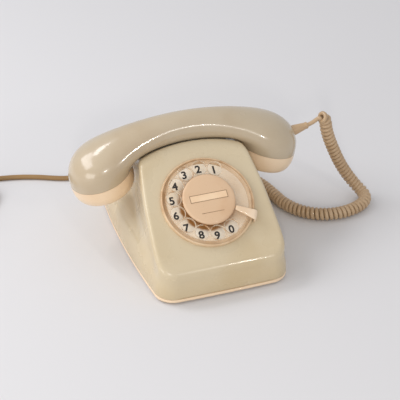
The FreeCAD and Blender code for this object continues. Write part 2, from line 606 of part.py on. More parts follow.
pinion = gear(PINION_TEETH, MAIN_MODULE, MAIN_Z[0] - 0.4, MAIN_Z[1] + 0.4, 0.9, 90.0 + 180.0 / PINION_TEETH)
arbor = joined([cylinder(ARBOR_R, PLATE_Z[1] - BRIDGE_Z[0] - 0.4, (0, 0, BRIDGE_Z[0] + 0.2)), pinion])
save("pinion_arbor", on_dial(shifted(arbor, *PINION_AT)))
second = gear(SECOND_TEETH, SECOND_MODULE, SECOND_Z[0], SECOND_Z[1], 0.55, GOVERNOR_ANGLE)
second = second.cut(cylinder(ARBOR_R, 4, (0, 0, SECOND_Z[0] - 1)))
save("second_gear", on_dial(shifted(second, *PINION_AT)))
cam_points = []
for i in range(48):
    a = 2 * math.pi * i / 48
    cam_r = 4.6 + 1.4 * math.cos(2 * a)
    cam_points.append((cam_r * math.cos(a), cam_r * math.sin(a), -14))
cam = polygon(cam_points).extrude(V(0, 0, 2)).cut(cylinder(ARBOR_R, 4, (0, 0, -15)))
save("pulse_cam", on_dial(shifted(cam, *PINION_AT)))

governor = joined([
    cylinder(ARBOR_R, PLATE_Z[1] - BRIDGE_Z[0] - 0.4, (0, 0, BRIDGE_Z[0] + 0.2)),
    gear(GOVERNOR_TEETH, SECOND_MODULE, SECOND_Z[0] - 0.4, SECOND_Z[1] + 0.4, 0.9,
         GOVERNOR_ANGLE + 180 + 180.0 / GOVERNOR_TEETH),
    box((-6.3, -1.0, -23.6), (6.3, 1.0, -22.8)),
])
save("governor_arbor", on_dial(shifted(governor, *GOVERNOR_AT)))
weights = []
for turn in (0, 180):
    weight = ring(6.4, 3.4, -25.6, -23.6).common(box((0.6, -7, -26), (7, 2.5, -23)))
    weight.rotate(V(0, 0, 0), V(0, 0, 1), turn)
    weights.append(weight)
save("governor_weights", on_dial(shifted(group(weights), *GOVERNOR_AT)))
cup = ring(8.2, 7.2, BRIDGE_Z[1], -20.5)
save("governor_cup", on_dial(shifted(cup, *GOVERNOR_AT)))

coil_points, TURNS, PER_TURN = [], 5, 36
for side in (0.25, -0.25):
    stretch = []
    for i in range(TURNS * PER_TURN + 1):
        a = 2 * math.pi * i / PER_TURN
        r = 4.4 + 11.6 * i / (TURNS * PER_TURN) + side
        stretch.append((r * math.cos(a), r * math.sin(a), -6.2))
    coil_points += stretch if side > 0 else stretch[::-1]
save("return_spring", on_dial(polygon(coil_points).extrude(V(0, 0, 2.0))))

block = box((-20, PINION_AT[1] - 3, BRIDGE_Z[1]), (-13, PINION_AT[1] + 3, -10.2))
blades = [box((-13, PINION_AT[1] + y, -14.5), (-6.6, PINION_AT[1] + y + 0.4, -11.5)) for y in (-2.4, 0.6, 2.2)]
save("pulse_contacts", on_dial(group([block] + blades)))

stop_dir = V(*polar(1, STOP_ANGLE))
stop_down = V(stop_dir.y, -stop_dir.x, 0)
STOP_IN, STOP_OUT, STOP_Z = CENTRE_R + 1.2, 47.2, (DISC_Z[1] + 0.5, DISC_Z[1] + 2.9)


def stop_piece(r0, r1, w0, w1, z0, z1):
    """Plate between two radii along the stop's edge, w0 and w1 wide."""
    corners = [stop_dir * r0, stop_dir * r1, stop_dir * r1 + stop_down * w1, stop_dir * r0 + stop_down * w0]
    return polygon([(c.x, c.y, z0) for c in corners]).extrude(V(0, 0, z1 - z0))


outer_w, inner_w = 9.6, 4.4
leg_w = inner_w + (outer_w - inner_w) * (BEZEL_R + 0.3 - STOP_IN) / (STOP_OUT - STOP_IN)
finger_stop = joined([
    stop_piece(STOP_IN, STOP_OUT, inner_w, outer_w, *STOP_Z),
    stop_piece(BEZEL_R + 0.3, STOP_OUT, leg_w, outer_w, 0.0, STOP_Z[1]),
])
save("finger_stop", on_dial(finger_stop))

# ---- cord outlets, cords, coil and plug ----
def bend_wire(points, label):
    """Straight runs joined by tangent arcs; prints the smallest radius."""
    p = [V(*q) for q in points]
    edges, at, radii = [], p[0], []
    for i in range(1, len(p) - 1):
        before, after = p[i - 1] - p[i], p[i + 1] - p[i]
        turn = math.pi - before.getAngle(after)
        reach = 0.45 * min(before.Length, after.Length)
        radius = reach / math.tan(turn / 2)
        radii.append(radius)
        a = p[i] + before.normalize() * reach
        b = p[i] + after.normalize() * reach
        inward = (before + after).normalize()
        middle = p[i] + inward * (radius / math.cos(turn / 2) - radius)
        edges += [Part.LineSegment(at, a).toShape(), Part.Arc(a, middle, b).toShape()]
        at = b
    edges.append(Part.LineSegment(at, p[-1]).toShape())
    print(label, "arc radii", [round(r, 1) for r in radii])
    return Part.Wire(edges)


def tube(points, r, label):
    """Round cord along a route."""
    path = bend_wire(points, label)
    start, heading = V(*points[0]), V(*points[1]) - V(*points[0])
    profile = Part.Wire(Part.makeCircle(r, start, heading))
    solid = path.makePipeShell([profile], True, True)
    ratio = solid.Volume / (math.pi * r * r * path.Length)
    print(label, "length", round(path.Length, 1), "volume ratio", round(ratio, 4), "valid", solid.isValid())
    return solid


LINE_ROUTE = [(-44, 121.5, EXIT_Z), (-45, 130, 10.2), (-51.5, 136.5, 6.6), (-62, 138, 3.4), (-75, 133.5, 2.5),
              (-88, 131.5, 2.5), (-101, 136.5, 2.5), (-118, 145, 2.5), (-137, 151.8, 2.5), (-158, 156, 2.5),
              (-180, 158.3, 2.5), (COIL_X, COIL_Y + 27.5, 2.5)]
CURL_ROUTE = [(147.5, 12, 100), (149, 12, 87), (152.6, 12.2, 72.5), (158.5, 12, 57), (165.8, 11.6, 40),
              (174.5, 10, 24.5), (183, 5, 12.5), (188, -5, 7.5), (184.5, -16, 6.6), (173.5, -24, 6.6),
              (158, -28.5, 6.6), (141, -28, 6.6), (125, -21.5, 6.6), (111.5, -8.5, 6.6), (103.5, 8, 6.6),
              (100, 26, 6.6), (98.4, 45, 6.6), (95.5, 65, 6.6), (91, 85, 6.6), (83, 106, 6.6), (70.5, 122, 6.6),
              (54, 132, 6.6)]
LEAD_ROUTE = [(54, 132, 6.6), (44.5, 136, 7.4), (36.6, 133, 9.6), (34.3, 127.5, 11.4), (34, 121.5, EXIT_Z)]

def outlet(x, cord_r):
    """Gland in the rear wall: a grooved body, a flange and a short taper round the cord."""
    profile = [(cord_r, -6), (4.1, -6), (4.1, 0.1), (6.6, 0.1), (6.6, 2.0), (4.6, 2.2), (cord_r + 1.2, 8.5),
               (cord_r, 8.5)]
    shape = revolved(profile)
    shape.rotate(V(0, 0, 0), V(1, 0, 0), -90)
    shape.translate(V(x, HALF_DEPTH, EXIT_Z))
    return shape.fuse(cylinder(cord_r, 14.5, (x, HALF_DEPTH - 6, EXIT_Z), (0, 1, 0))).removeSplitter()


save("line_cord_gland", outlet(LINE_X, LINE_D / 2))
save("handset_cord_gland", outlet(CURL_X, LEAD_D / 2))

coil = ring(COIL_OUT, COIL_IN, 0.0, COIL_H, COIL_X, COIL_Y)
line_cord = tube(LINE_ROUTE, LINE_D / 2 - 0.01, "line cord").cut(coil)
line_cord = max(line_cord.Solids, key=lambda one: one.Volume)
save("line_cord", line_cord)
TAIL_Z = 10.0
tail = cylinder(LINE_D / 2, 34, (COIL_X - 27.5, COIL_Y - 34, TAIL_Z), (0, 1, 0)).cut(coil)
tail = max(tail.Solids, key=lambda one: -one.BoundBox.YMin)
save("line_cord_tail", tail)
tie = box((COIL_X - 4, COIL_Y - COIL_OUT - 1.2, 0.0), (COIL_X + 4, COIL_Y - COIL_IN + 1.2, COIL_H + 1.2))
tie = tie.cut(ring(COIL_OUT, COIL_IN, 0.0, COIL_H, COIL_X, COIL_Y))
save("line_cord_coil", coil)
save("coil_tie", tie)
plug_x, plug_y = COIL_X - 27.5, COIL_Y - 34
plug_relief = Part.makeCone(LINE_D / 2 + 0.8, LINE_D / 2 + 2.2, 20, V(plug_x, plug_y, TAIL_Z), V(0, -1, 0))
plug_body = box((plug_x - 11, plug_y - 52, TAIL_Z - 9), (plug_x + 11, plug_y - 20, TAIL_Z + 9))
long_edges = [e for e in plug_body.Edges if e.BoundBox.YLength > 30]
plug_body = plug_body.makeFillet(4.0, long_edges)
save("line_plug", plug_body.fuse(plug_relief).removeSplitter())
pins = [box((plug_x + x - 1.2, plug_y - 62, TAIL_Z + z - 2), (plug_x + x + 1.2, plug_y - 52, TAIL_Z + z + 2))
        for x in (-5, 5) for z in (-3.5, 3.5)]
save("plug_pins", group(pins))

curl = tube(CURL_ROUTE, CURL_D / 2, "curled cord")
save("handset_cord", curl)
lead = tube(LEAD_ROUTE, LEAD_D / 2, "body lead").cut(curl)
short_lead = Part.makeCylinder(LEAD_D / 2, 22, RELIEF_TO + RELIEF_ALONG * BODY_GAP, RELIEF_ALONG).cut(curl)
short_lead = min(short_lead.Solids, key=lambda one: one.BoundBox.XMin)
save("handset_cord_leads", group([lead, short_lead]))
relief = Part.makeCone(5.4, 3.0, (RELIEF_TO - RELIEF_FROM).Length, RELIEF_FROM, RELIEF_ALONG).cut(handset_outer)
save("handset_cord_relief", relief)
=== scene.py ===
# %% [markdown]
# # A rotary desk telephone
# The CAD model fixes every size and every moving part. This script loads it as a frame, hangs finer
# surfaces on it and gives each part its finish. Each step starts with a few words on the real thing.

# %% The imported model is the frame
import json
import math

import bmesh
import bpy
import numpy as np
from mathutils import Matrix, Vector
from mathutils.bvhtree import BVHTree


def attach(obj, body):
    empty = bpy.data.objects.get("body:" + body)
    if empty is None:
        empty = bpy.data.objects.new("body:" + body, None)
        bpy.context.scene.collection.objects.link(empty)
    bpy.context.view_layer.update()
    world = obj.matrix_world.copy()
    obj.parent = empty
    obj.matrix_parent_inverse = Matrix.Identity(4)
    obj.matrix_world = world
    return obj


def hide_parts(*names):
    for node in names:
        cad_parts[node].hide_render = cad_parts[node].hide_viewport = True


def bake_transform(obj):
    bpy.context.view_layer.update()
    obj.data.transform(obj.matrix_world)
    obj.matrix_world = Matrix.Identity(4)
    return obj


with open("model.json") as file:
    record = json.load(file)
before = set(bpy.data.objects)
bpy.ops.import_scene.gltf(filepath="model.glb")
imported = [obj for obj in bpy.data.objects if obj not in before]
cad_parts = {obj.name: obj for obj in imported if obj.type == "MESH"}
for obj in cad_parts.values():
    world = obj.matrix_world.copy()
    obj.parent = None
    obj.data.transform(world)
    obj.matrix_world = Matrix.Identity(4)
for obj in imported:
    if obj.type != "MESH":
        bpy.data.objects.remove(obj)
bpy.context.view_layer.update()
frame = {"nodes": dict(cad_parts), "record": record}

# %% [markdown]
# ## Camera
# The view is a long lens, a little to the left of the telephone and well above it. A camera looks along
# its own -Z, so its matrix is three columns: right, up and back. They come from an azimuth, an
# elevation and a slight roll. The Standard view keeps pale plastic as pale as it is, where a filmic one
# would grey it.

# %% Camera
MM = 0.001
AZIMUTH, ELEVATION, ROLL = math.radians(-18.76), math.radians(33.03), math.radians(-0.37)
CAMERA_DISTANCE, LENS = 1.4633, 137.8
LOOK_AT = Vector((0.0, -0.03594, 0.05902))

back = Vector((math.sin(AZIMUTH) * math.cos(ELEVATION), -math.cos(AZIMUTH) * math.cos(ELEVATION),
               math.sin(ELEVATION)))
level = Vector((math.cos(AZIMUTH), math.sin(AZIMUTH), 0.0))
right = level * math.cos(ROLL) + back.cross(level) * math.sin(ROLL)
up = back.cross(right)
camera = bpy.data.objects.new("camera", bpy.data.cameras.new("camera"))
camera.data.lens, camera.data.sensor_width, camera.data.clip_end = LENS, 36.0, 20.0
camera.matrix_world = Matrix((right, up, back)).transposed().to_4x4()
camera.location = LOOK_AT + back * CAMERA_DISTANCE
bpy.context.scene.collection.objects.link(camera)
bpy.context.scene.camera = camera
bpy.context.scene.view_settings.view_transform = "Standard"
print("camera at", [round(x, 3) for x in camera.location])

# %% [markdown]
# ## Surfaces as arrays
# Most pieces here are a grid of points: one index goes along the piece, the other goes round it. One
# helper turns such a grid into a mesh and closes its ends, so that every shape below is only a formula.
# Another says where a finished piece belongs: its material, its body and the CAD nodes it stands for.

# %% Grid to mesh
def finish_mesh(name, points, faces, sharp=40.0):
    """Object from points and faces, shaded smooth except over edges sharper than the given angle."""
    mesh = bpy.data.meshes.new(name)
    mesh.from_pydata(np.asarray(points).tolist(), [], faces)
    work = bmesh.new()
    work.from_mesh(mesh)
    bmesh.ops.remove_doubles(work, verts=work.verts, dist=2e-6)
    bmesh.ops.recalc_face_normals(work, faces=work.faces)
    work.to_mesh(mesh)
    work.free()
    mesh.polygons.foreach_set("use_smooth", np.ones(len(mesh.polygons), bool))
    mesh.set_sharp_from_angle(angle=math.radians(sharp))
    made = bpy.data.objects.new(name, mesh)
    bpy.context.scene.collection.objects.link(made)
    return made


def grid_faces(rows, columns, wrap_rows=False, wrap_columns=True, first=0):
    """Corner numbers of the quads between neighbouring rows and columns of a grid."""
    r = np.arange(rows if wrap_rows else rows - 1)[:, None]
    c = np.arange(columns if wrap_columns else columns - 1)[None, :]
    r2, c2 = (r + 1) % rows, (c + 1) % columns
    quads = np.stack([r * columns + c, r * columns + c2, r2 * columns + c2, r2 * columns + c], -1)
    return (quads.reshape(-1, 4) + first).tolist()


def skin(name, grid, wrap_rows=False, sharp=40.0):
    """A piece from a rows x columns grid whose columns run round. Unless the rows run round as well, each
    end is closed by a fan to its middle."""
    rows, columns, _ = grid.shape
    points, faces = grid.reshape(-1, 3), grid_faces(rows, columns, wrap_rows)
    if not wrap_rows:
        points = np.vstack([points, grid[0].mean(0), grid[-1].mean(0)])
        middle, last = rows * columns, (rows - 1) * columns
        for i in range(columns):
            j = (i + 1) % columns
            faces += [[j, i, middle], [last + i, last + j, middle + 1]]
    return finish_mesh(name, points, faces, sharp)


# %% [markdown]
# ### Smooth outlines and turned shapes
# An outline is given by a few points with a natural cubic spline through them. A turned part is an
# outline spun round an axis. It is drawn in its own frame, and a function puts it in its place.

# %% Splines and turned shapes
def spline(knots, values, at):
    """Natural cubic through values at knots: its slopes solve the usual three-term equations."""
    knots, values, at = (np.asarray(a, float) for a in (knots, values, at))
    gap, n = np.diff(knots), len(knots)
    system, rhs = np.zeros((n, n)), np.zeros((n,) + values.shape[1:])
    rise = np.diff(values, axis=0) / gap.reshape(-1, *[1] * (values.ndim - 1))
    system[0, 0] = system[-1, -1] = 1.0
    for i in range(1, n - 1):
        system[i, i - 1:i + 2] = gap[i - 1], 2 * (gap[i - 1] + gap[i]), gap[i]
        rhs[i] = 6 * (rise[i] - rise[i - 1])
    bend = np.linalg.solve(system, rhs)
    i = np.clip(np.searchsorted(knots, at) - 1, 0, n - 2)
    shape = (-1,) + (1,) * (values.ndim - 1)
    h = gap[i].reshape(shape)
    a, b = (knots[i + 1] - at).reshape(shape) / h, (at - knots[i]).reshape(shape) / h
    return (a * values[i] + b * values[i + 1]
            + ((a ** 3 - a) * bend[i] + (b ** 3 - b) * bend[i + 1]) * h ** 2 / 6)


def revolve(name, profile, place, steps=160, closed=False, sharp=40.0):
    """A profile of (radius, height) pairs turned round an axis; place maps local x, y, z to the frame."""
    profile = np.asarray(profile, float) * MM
    turn = np.linspace(0, 2 * math.pi, steps, endpoint=False)
    r, h = profile[:, :1], profile[:, 1:]
    local = np.stack([r * np.cos(turn), r * np.sin(turn), h + 0 * turn], -1)
    return skin(name, place(local), wrap_rows=closed, sharp=sharp)


def dress(piece, material):
    """Give a piece this one material."""
    piece.data.materials.clear()
    piece.data.materials.append(material)


def fit_out(piece, material, body, slot, *nodes):
    """Give a piece its material, the body it rides on and the CAD nodes it stands for. The slot is not used.
    """
    dress(piece, material)
    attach(piece, body)
    if nodes:
        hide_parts(*nodes)


# %% [markdown]
# ## Cords
# A line cord leaves the rear wall at the left and lies along the table; what is not in view is wound
# in a small coil beside the telephone, tied, with its plug. A curled cord hangs from the handset's
# mouth end, lies in a wide bend on the table and goes back to the rear wall. Both are one smooth line
# through a few chosen points, in millimetres, the same points as in the CAD model. A NURBS curve takes
# them as its control points, so it never kinks between them.

# %% Routes
LINE_D, CURL_D, WIRE_D = 5.0 * MM, 13.0 * MM, 4.2 * MM
COIL_AT = (-202.0, 131.0)
LINE_ROUTE = [
    (-44, 121.5, 12), (-45, 130, 10.2), (-51.5, 136.5, 6.6), (-62, 138, 3.4), (-75, 133.5, 2.5),
    (-88, 131.5, 2.5), (-101, 136.5, 2.5), (-118, 145, 2.5), (-137, 151.8, 2.5), (-158, 156, 2.5),
    (-180, 158.3, 2.5)]
TAIL_ROUTE = [(-229.5, 119, 12.3), (-229.5, 109, 11.2), (-229.5, 101, 10.3), (-229.5, 94, 10)]
CURL_ROUTE = [
    (34, 121.5, 12), (34.3, 127.5, 11.4), (36.6, 133, 9.6), (44.5, 136, 7.4), (54, 131, 6.6), (67, 120, 6.6),
    (76, 103, 6.6), (83, 82, 6.6), (90, 62, 6.6), (97, 43, 6.6), (100.5, 26, 6.6), (103.5, 8, 6.6),
    (111.5, -8.5, 6.6), (125, -21.5, 6.6), (141, -28, 6.6), (158, -28.5, 6.6), (173.5, -24, 6.6),
    (184.5, -16, 6.6), (188, -5, 7.5), (183, 5, 12.5), (174.5, 10, 24.5), (165.8, 11.6, 40), (158.5, 12, 57),
    (152.6, 12.2, 72.5), (149.5, 12, 84), (148.5, 12, 93), (144.5, 12, 97.5), (139, 12, 95), (134, 12, 91.8),
    (128.8, 12, 90.4)]


def nurbs(name, points, thickness=0.0):
    """A curve object of one NURBS spline of order 3 with the given control points, in metres. The tube's
    radius stands on the points, because a curve's box counts them, and the bevel is 1 times that."""
    curve = bpy.data.curves.new(name, "CURVE")
    curve.dimensions = "3D"
    line = curve.splines.new("NURBS")
    line.points.add(len(points) - 1)
    line.points.foreach_set("co", np.column_stack([points, np.ones(len(points))]).ravel())
    line.order_u, line.use_endpoint_u, line.resolution_u = 3, True, 6
    if thickness:
        line.points.foreach_set("radius", np.full(len(points), thickness))
        curve.bevel_depth, curve.bevel_resolution, curve.use_fill_caps = 1.0, 5, True
    made = bpy.data.objects.new(name, curve)
    bpy.context.scene.collection.objects.link(made)
    return made


def along_nurbs(points, step):
    """Evenly spaced points on the NURBS line, and the distance of each from its start."""
    guide = nurbs("guide", np.asarray(points, float) * MM)
    guide.data.splines[0].resolution_u = 24
    mesh = bpy.data.meshes.new_from_object(guide.evaluated_get(bpy.context.evaluated_depsgraph_get()))
    line = np.empty(len(mesh.vertices) * 3)
    mesh.vertices.foreach_get("co", line)
    line = line.reshape(-1, 3)
    bpy.data.meshes.remove(mesh)
    bpy.data.objects.remove(guide)
    far = np.concatenate([[0], np.cumsum(np.linalg.norm(np.diff(line, axis=0), axis=1))])
    keep = np.concatenate([[True], np.diff(far) > 1e-9])
    at = np.linspace(0, far[-1], int(far[-1] / step) + 2)
    return np.column_stack([np.interp(at, far[keep], line[keep, k]) for k in range(3)]), at


# %% [markdown]
# ### Line cord
# Turns of a tied coil lie beside and on top of each other like stacked pipes. So each turn has a slot, a
# radius and a height in millimetres, and the cord climbs smoothly to the next slot in the last part of
# each turn.

# %% Line cord with its coil
TURN_SLOTS = np.array([(27.5, 2.5), (22.5, 2.5), (22.5, 7.5), (27.5, 7.5), (32.5, 7.5), (22.5, 12.5),
                       (27.5, 12.5), (27.5, 12.5), (27.5, 12.5)])
TURNS, PER_TURN, CLIMB_FROM = 7.25, 16, 0.72
turn = np.arange(int(TURNS * PER_TURN)) / PER_TURN
whole = turn.astype(int)
share = np.clip((turn - whole - CLIMB_FROM) / (1 - CLIMB_FROM), 0, 1)[:, None]
share = share * share * (3 - 2 * share)
slots = TURN_SLOTS[whole] * (1 - share) + TURN_SLOTS[whole + 1] * share
angle = math.pi / 2 + 2 * math.pi * turn
coil_points = np.column_stack([
    COIL_AT[0] + slots[:, 0] * np.cos(angle), COIL_AT[1] + slots[:, 0] * np.sin(angle), slots[:, 1]])
line_points = np.vstack([LINE_ROUTE, coil_points, TAIL_ROUTE]) * MM
line_cord = nurbs("line_cord_flex", line_points, LINE_D / 2)
line_length = along_nurbs(line_points / MM, 0.002)[1][-1]
print("line cord length", round(float(line_length), 3))
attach(line_cord, "base")
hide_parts("line_cord", "line_cord_tail", "line_cord_coil")


# %% [markdown]
# ### Curled cord
# A curled cord is a straight wire wound into a helix, so it is made that way: the helix winds round the
# route, and a round section is swept along it. To keep the tube from twisting, the section's two axes are
# carried from point to point. The winding's width grows from nothing at one end and shrinks again before
# the handset, which leaves a straight lead at each end.

# %% Sweeping a round wire along points
def frames_along(points):
    """At each point two unit vectors across the line, carried along without twist: each pair is the
    one before it, less what now points along the line."""
    ahead = np.gradient(points, axis=0)
    ahead /= np.linalg.norm(ahead, axis=1, keepdims=True)
    side = np.empty_like(points)
    side[0] = np.cross(ahead[0], (0.3, 0.9, 0.1))
    side[0] /= np.linalg.norm(side[0])
    for i in range(1, len(points)):
        v = side[i - 1] - ahead[i] * np.dot(side[i - 1], ahead[i])
        side[i] = v / np.linalg.norm(v)
    return side, np.cross(ahead, side)


def wire(name, points, radius, around=10):
    """A tube round a line of points: rings of the given radius in the carried frames."""
    side, other = frames_along(points)
    turn = np.linspace(0, 2 * math.pi, around, endpoint=False)
    radius = np.broadcast_to(radius, len(points))[:, None, None]
    rings = (points[:, None] + radius * (side[:, None] * np.cos(turn)[:, None]
                                         + other[:, None] * np.sin(turn)[:, None]))
    return skin(name, rings)


# %% Curled cord
PITCH, STEPS_PER_TURN = 4.4 * MM, 18
BASE_LEAD, BASE_GROWTH = 40.0 * MM, 12.0 * MM
HANDSET_LEAD, HANDSET_GROWTH = 12.5 * MM, 6.0 * MM
axis_line, axis_far = along_nurbs(CURL_ROUTE, PITCH / STEPS_PER_TURN)
side, other = frames_along(axis_line)
from_ends = np.minimum((axis_far - BASE_LEAD) / BASE_GROWTH,
                       (axis_far[-1] - HANDSET_LEAD - axis_far) / HANDSET_GROWTH)
grow = np.clip(from_ends, 0, 1)
grow = grow * grow * (3 - 2 * grow)
winding_r = (CURL_D - WIRE_D) / 2 * grow
winding = 2 * math.pi * axis_far / PITCH
helix = (axis_line + side * (winding_r * np.cos(winding))[:, None]
         + other * (winding_r * np.sin(winding))[:, None])
helix[:, 2] = np.maximum(helix[:, 2], WIRE_D / 2)
helix_length = float(np.linalg.norm(np.diff(helix, axis=0), axis=1).sum())
print("curled cord wire", round(helix_length, 3), "along", round(float(axis_far[-1]), 3))
curl = wire("curled_cord", helix, WIRE_D / 2, 9)
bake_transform(curl)
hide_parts("handset_cord", "handset_cord_leads")

# %% [markdown]
# ## Finishes
# Old moulded plastic is never one flat colour: it yellows in clouds, has fine specks, and its gloss
# breaks where hands have worn it. A recipe holds one material. Its sockets take part in Python
# expressions, so a mask reads like a formula.

# %% Shader maths
class Socket:
    """One output socket. + - * on it add a Math node to the same recipe."""

    def __init__(self, recipe, out):
        self.recipe, self.out = recipe, out

    def maths(self, operation, *values):
        return self.recipe.node("ShaderNodeMath", {"operation": operation}, dict(enumerate(values)))

    def __add__(self, other):
        return self.maths("ADD", self, other)

    def __sub__(self, other):
        return self.maths("SUBTRACT", self, other)

    def __rsub__(self, other):
        return self.maths("SUBTRACT", other, self)

    def __mul__(self, other):
        return self.maths("MULTIPLY", self, other)

    __radd__, __rmul__ = __add__, __mul__


def linear(red, green, blue):
    """A colour as seen on a screen, 0 to 255, as the linear value that a shader takes."""
    return tuple(((c / 255 + 0.055) / 1.055) ** 2.4 for c in (red, green, blue)) + (1.0,)


class Recipe:
    """A material being built: node() adds any node, the other calls are the few patterns used here."""

    def __init__(self, name, **constants):
        self.material = bpy.data.materials.new(name)
        self.material.use_nodes = True
        self.tree = self.material.node_tree
        self.shader = self.tree.nodes["Principled BSDF"]
        for socket, value in constants.items():
            self.shader.inputs[socket.replace("_", " ")].default_value = value
        self.place = self.node("ShaderNodeTexCoord", out="Object")

    def node(self, kind, settings=None, sockets=None, out=0):
        made = self.tree.nodes.new(kind)
        for key, value in (settings or {}).items():
            setattr(made, key, value)
        for key, value in (sockets or {}).items():
            self.feed(made.inputs[key], value)
        return Socket(self, made.outputs[out])

    def feed(self, socket, value):
        if isinstance(value, Socket):
            self.tree.links.new(value.out, socket)
        else:
            socket.default_value = value

    def noise(self, scale, detail=2.0, roughness=0.5, stretch=None):
        place = self.place
        if stretch:
            place = self.node("ShaderNodeMapping", None, {"Vector": place, "Scale": stretch})
        return self.node("ShaderNodeTexNoise", None, {"Vector": place, "Scale": scale, "Detail": detail,
                                                      "Roughness": roughness})

    def between(self, value, low, high):
        """0 below low, 1 above high, and a smooth step in between."""
        return self.node("ShaderNodeMapRange", {"interpolation_type": "SMOOTHSTEP"},
                         {"Value": value, "From Min": low, "From Max": high})

    def mix(self, a, b, factor):
        """Colour a where the factor is 0, colour b where it is 1."""
        return self.node("ShaderNodeMix", {"data_type": "RGBA"}, {0: factor, 6: a, 7: b}, out=2)

    def axis(self, name):
        return self.node("ShaderNodeSeparateXYZ", None, {0: self.place}, out=name)

    def bump(self, height, strength, distance):
        self.feed(self.shader.inputs["Normal"], self.node(
            "ShaderNodeBump", None, {"Strength": strength, "Distance": distance, "Height": height}))


LOW_YELLOWING_AND_SHADE = (0.006, 0.05)      # heights between which the housing's lower tint fades: yellowing and painted shade


def moulded(name, tone, aged, specks, rough=0.3, coat=0.3, aged_scale=14.0, grain=0.15, low_yellowing_and_shade=0.0):
    """Moulded plastic: a tone that turns to its aged tone in clouds and, as yellowing with painted shade,
    towards the table, with fine specks, slightly uneven gloss and the faint waviness of a moulded skin."""
    r = Recipe(name, Coat_Roughness=0.06, IOR=1.5)
    clouds = r.between(r.noise(aged_scale, 3.0, 0.55), 0.38, 0.72)
    # Towards the table the tone turns browner: partly yellowing, partly painted shade on the lower faces.
    if low_yellowing_and_shade:
        clouds = r.between(clouds * 0.6 + low_yellowing_and_shade * (1 - r.between(r.axis("Z"), *LOW_YELLOWING_AND_SHADE)), 0.0, 1.0)
    colour = r.mix(linear(*tone), linear(*aged), clouds)
    fine = r.between(r.noise(900.0, 1.0), 0.66, 0.8)
    colour = r.mix(colour, linear(*specks), fine * 0.35)
    r.feed(r.shader.inputs["Base Color"], colour)
    scuffs = r.between(r.noise(22.0, 3.0, 0.6), 0.45, 0.75)
    r.feed(r.shader.inputs["Roughness"], rough + scuffs * 0.08)
    if coat:
        r.feed(r.shader.inputs["Coat Weight"], coat - scuffs * (coat * 0.3))
    r.bump(r.noise(70.0, 2.0) + r.noise(700.0, 1.0) * 0.3, grain, 0.0006)
    return r.material


housing_plastic = moulded("housing_plastic", (207, 191, 160), (197, 176, 138), (172, 144, 108),
                          rough=0.26, coat=0.4, grain=0.06, low_yellowing_and_shade=0.55)
handset_plastic = moulded("handset_plastic", (191, 175, 149), (182, 162, 133), (160, 134, 106),
                          rough=0.2, coat=0.6, grain=0.05)
trim_plastic = moulded("trim_plastic", (238, 213, 181), (230, 199, 162), (190, 152, 114), rough=0.36)
rim_plastic = moulded("dial_rim_plastic", (220, 192, 156), (186, 146, 102), (146, 108, 72),
                      rough=0.3, aged_scale=40)
disc_plastic = moulded("centre_plastic", (217, 184, 149), (210, 172, 134), (176, 138, 104),
                       rough=0.42, aged_scale=30)
stop_plastic = moulded("stop_plastic", (232, 208, 180), (224, 194, 160), (190, 156, 120),
                       rough=0.3, aged_scale=60)
relief_plastic = moulded("relief_plastic", (192, 162, 126), (178, 146, 110), (150, 118, 86), rough=0.36)
line_rubber = moulded("line_cord_plastic", (154, 120, 74), (138, 104, 60), (110, 82, 50),
                      rough=0.42, coat=0.1)
curl_rubber = moulded("curled_cord_plastic", (192, 164, 130), (176, 146, 110), (128, 102, 74),
                      rough=0.4, coat=0.15, aged_scale=25)
for cord_piece, material in ((line_cord, line_rubber), (curl, curl_rubber)):
    dress(cord_piece, material)

# %% [markdown]
# ## Housing
# The cover is one moulding: a domed skirt, and in it a waisted tower with a sloping front for the dial.
# Flat faces meet in soft edges everywhere, which is what makes it read as moulded. Instead of
# bevelling a mesh, the shape is written as distances: each face is a number that is negative
# inside, and joining two of them with a rounded corner is one short formula. The surface is then found
# along rays from a point inside.

# %% Housing as distances
slope = math.radians(35.6)
DIAL_AT = np.array([0.0, -57.7, 69.7]) * MM
DIAL_UP = np.array([0.0, math.cos(slope), math.sin(slope)])
DIAL_OUT = np.array([0.0, -math.sin(slope), math.cos(slope)])
SIDE_Y = np.array([-112, -93, -69, -48, -30, -18, -2, 14, 34, 60, 84, 106.0]) * MM
SIDE_X = np.array([61.6, 63, 61.6, 59.6, 56.6, 54.4, 51.2, 48.8, 50.2, 53.4, 55, 54.0]) * MM
BASE_TOP, LIP_TOP, SKIRT_TOP = 5.5 * MM, 107.5 * MM, 40.0 * MM
ARCH_R = 156.45 * MM


def corner(a, b, reach_a, reach_b=None):
    """Inside both shapes, the shared edge rounded: an ellipse quarter that starts reach_a and reach_b
    inside the two faces. Where only one face is near, it is that face alone."""
    reach_b = reach_a if reach_b is None else reach_b
    near = np.hypot(np.maximum(1 + a / reach_a, 0), np.maximum(1 + b / reach_b, 0))
    return (near - 1) * np.minimum(reach_a, reach_b)


def valley(a, b, radius):
    """Inside either shape, with a hollow fillet of the given radius where they meet."""
    near = np.hypot(np.maximum(radius - a, 0), np.maximum(radius - b, 0))
    return np.maximum(radius, np.minimum(a, b)) - near


def base_outline(x, y, inset=0.0):
    """Plan of the base: sides that bow out to their widest near the middle, bowed ends, round corners."""
    y0 = y / MM + 2
    half = np.where(y0 < 0, 70.2 - 6.7 * (y0 / 109.8) ** 2, 70.2 - 8.2 * (y0 / 113.8) ** 2) * MM - inset
    ends = 1.2 * MM * (x / 0.0635) ** 2 + inset
    front = corner(np.abs(x) - half, -y - 0.113 + ends, 16 * MM)
    return corner(front, y - 0.113 + ends, 24 * MM)


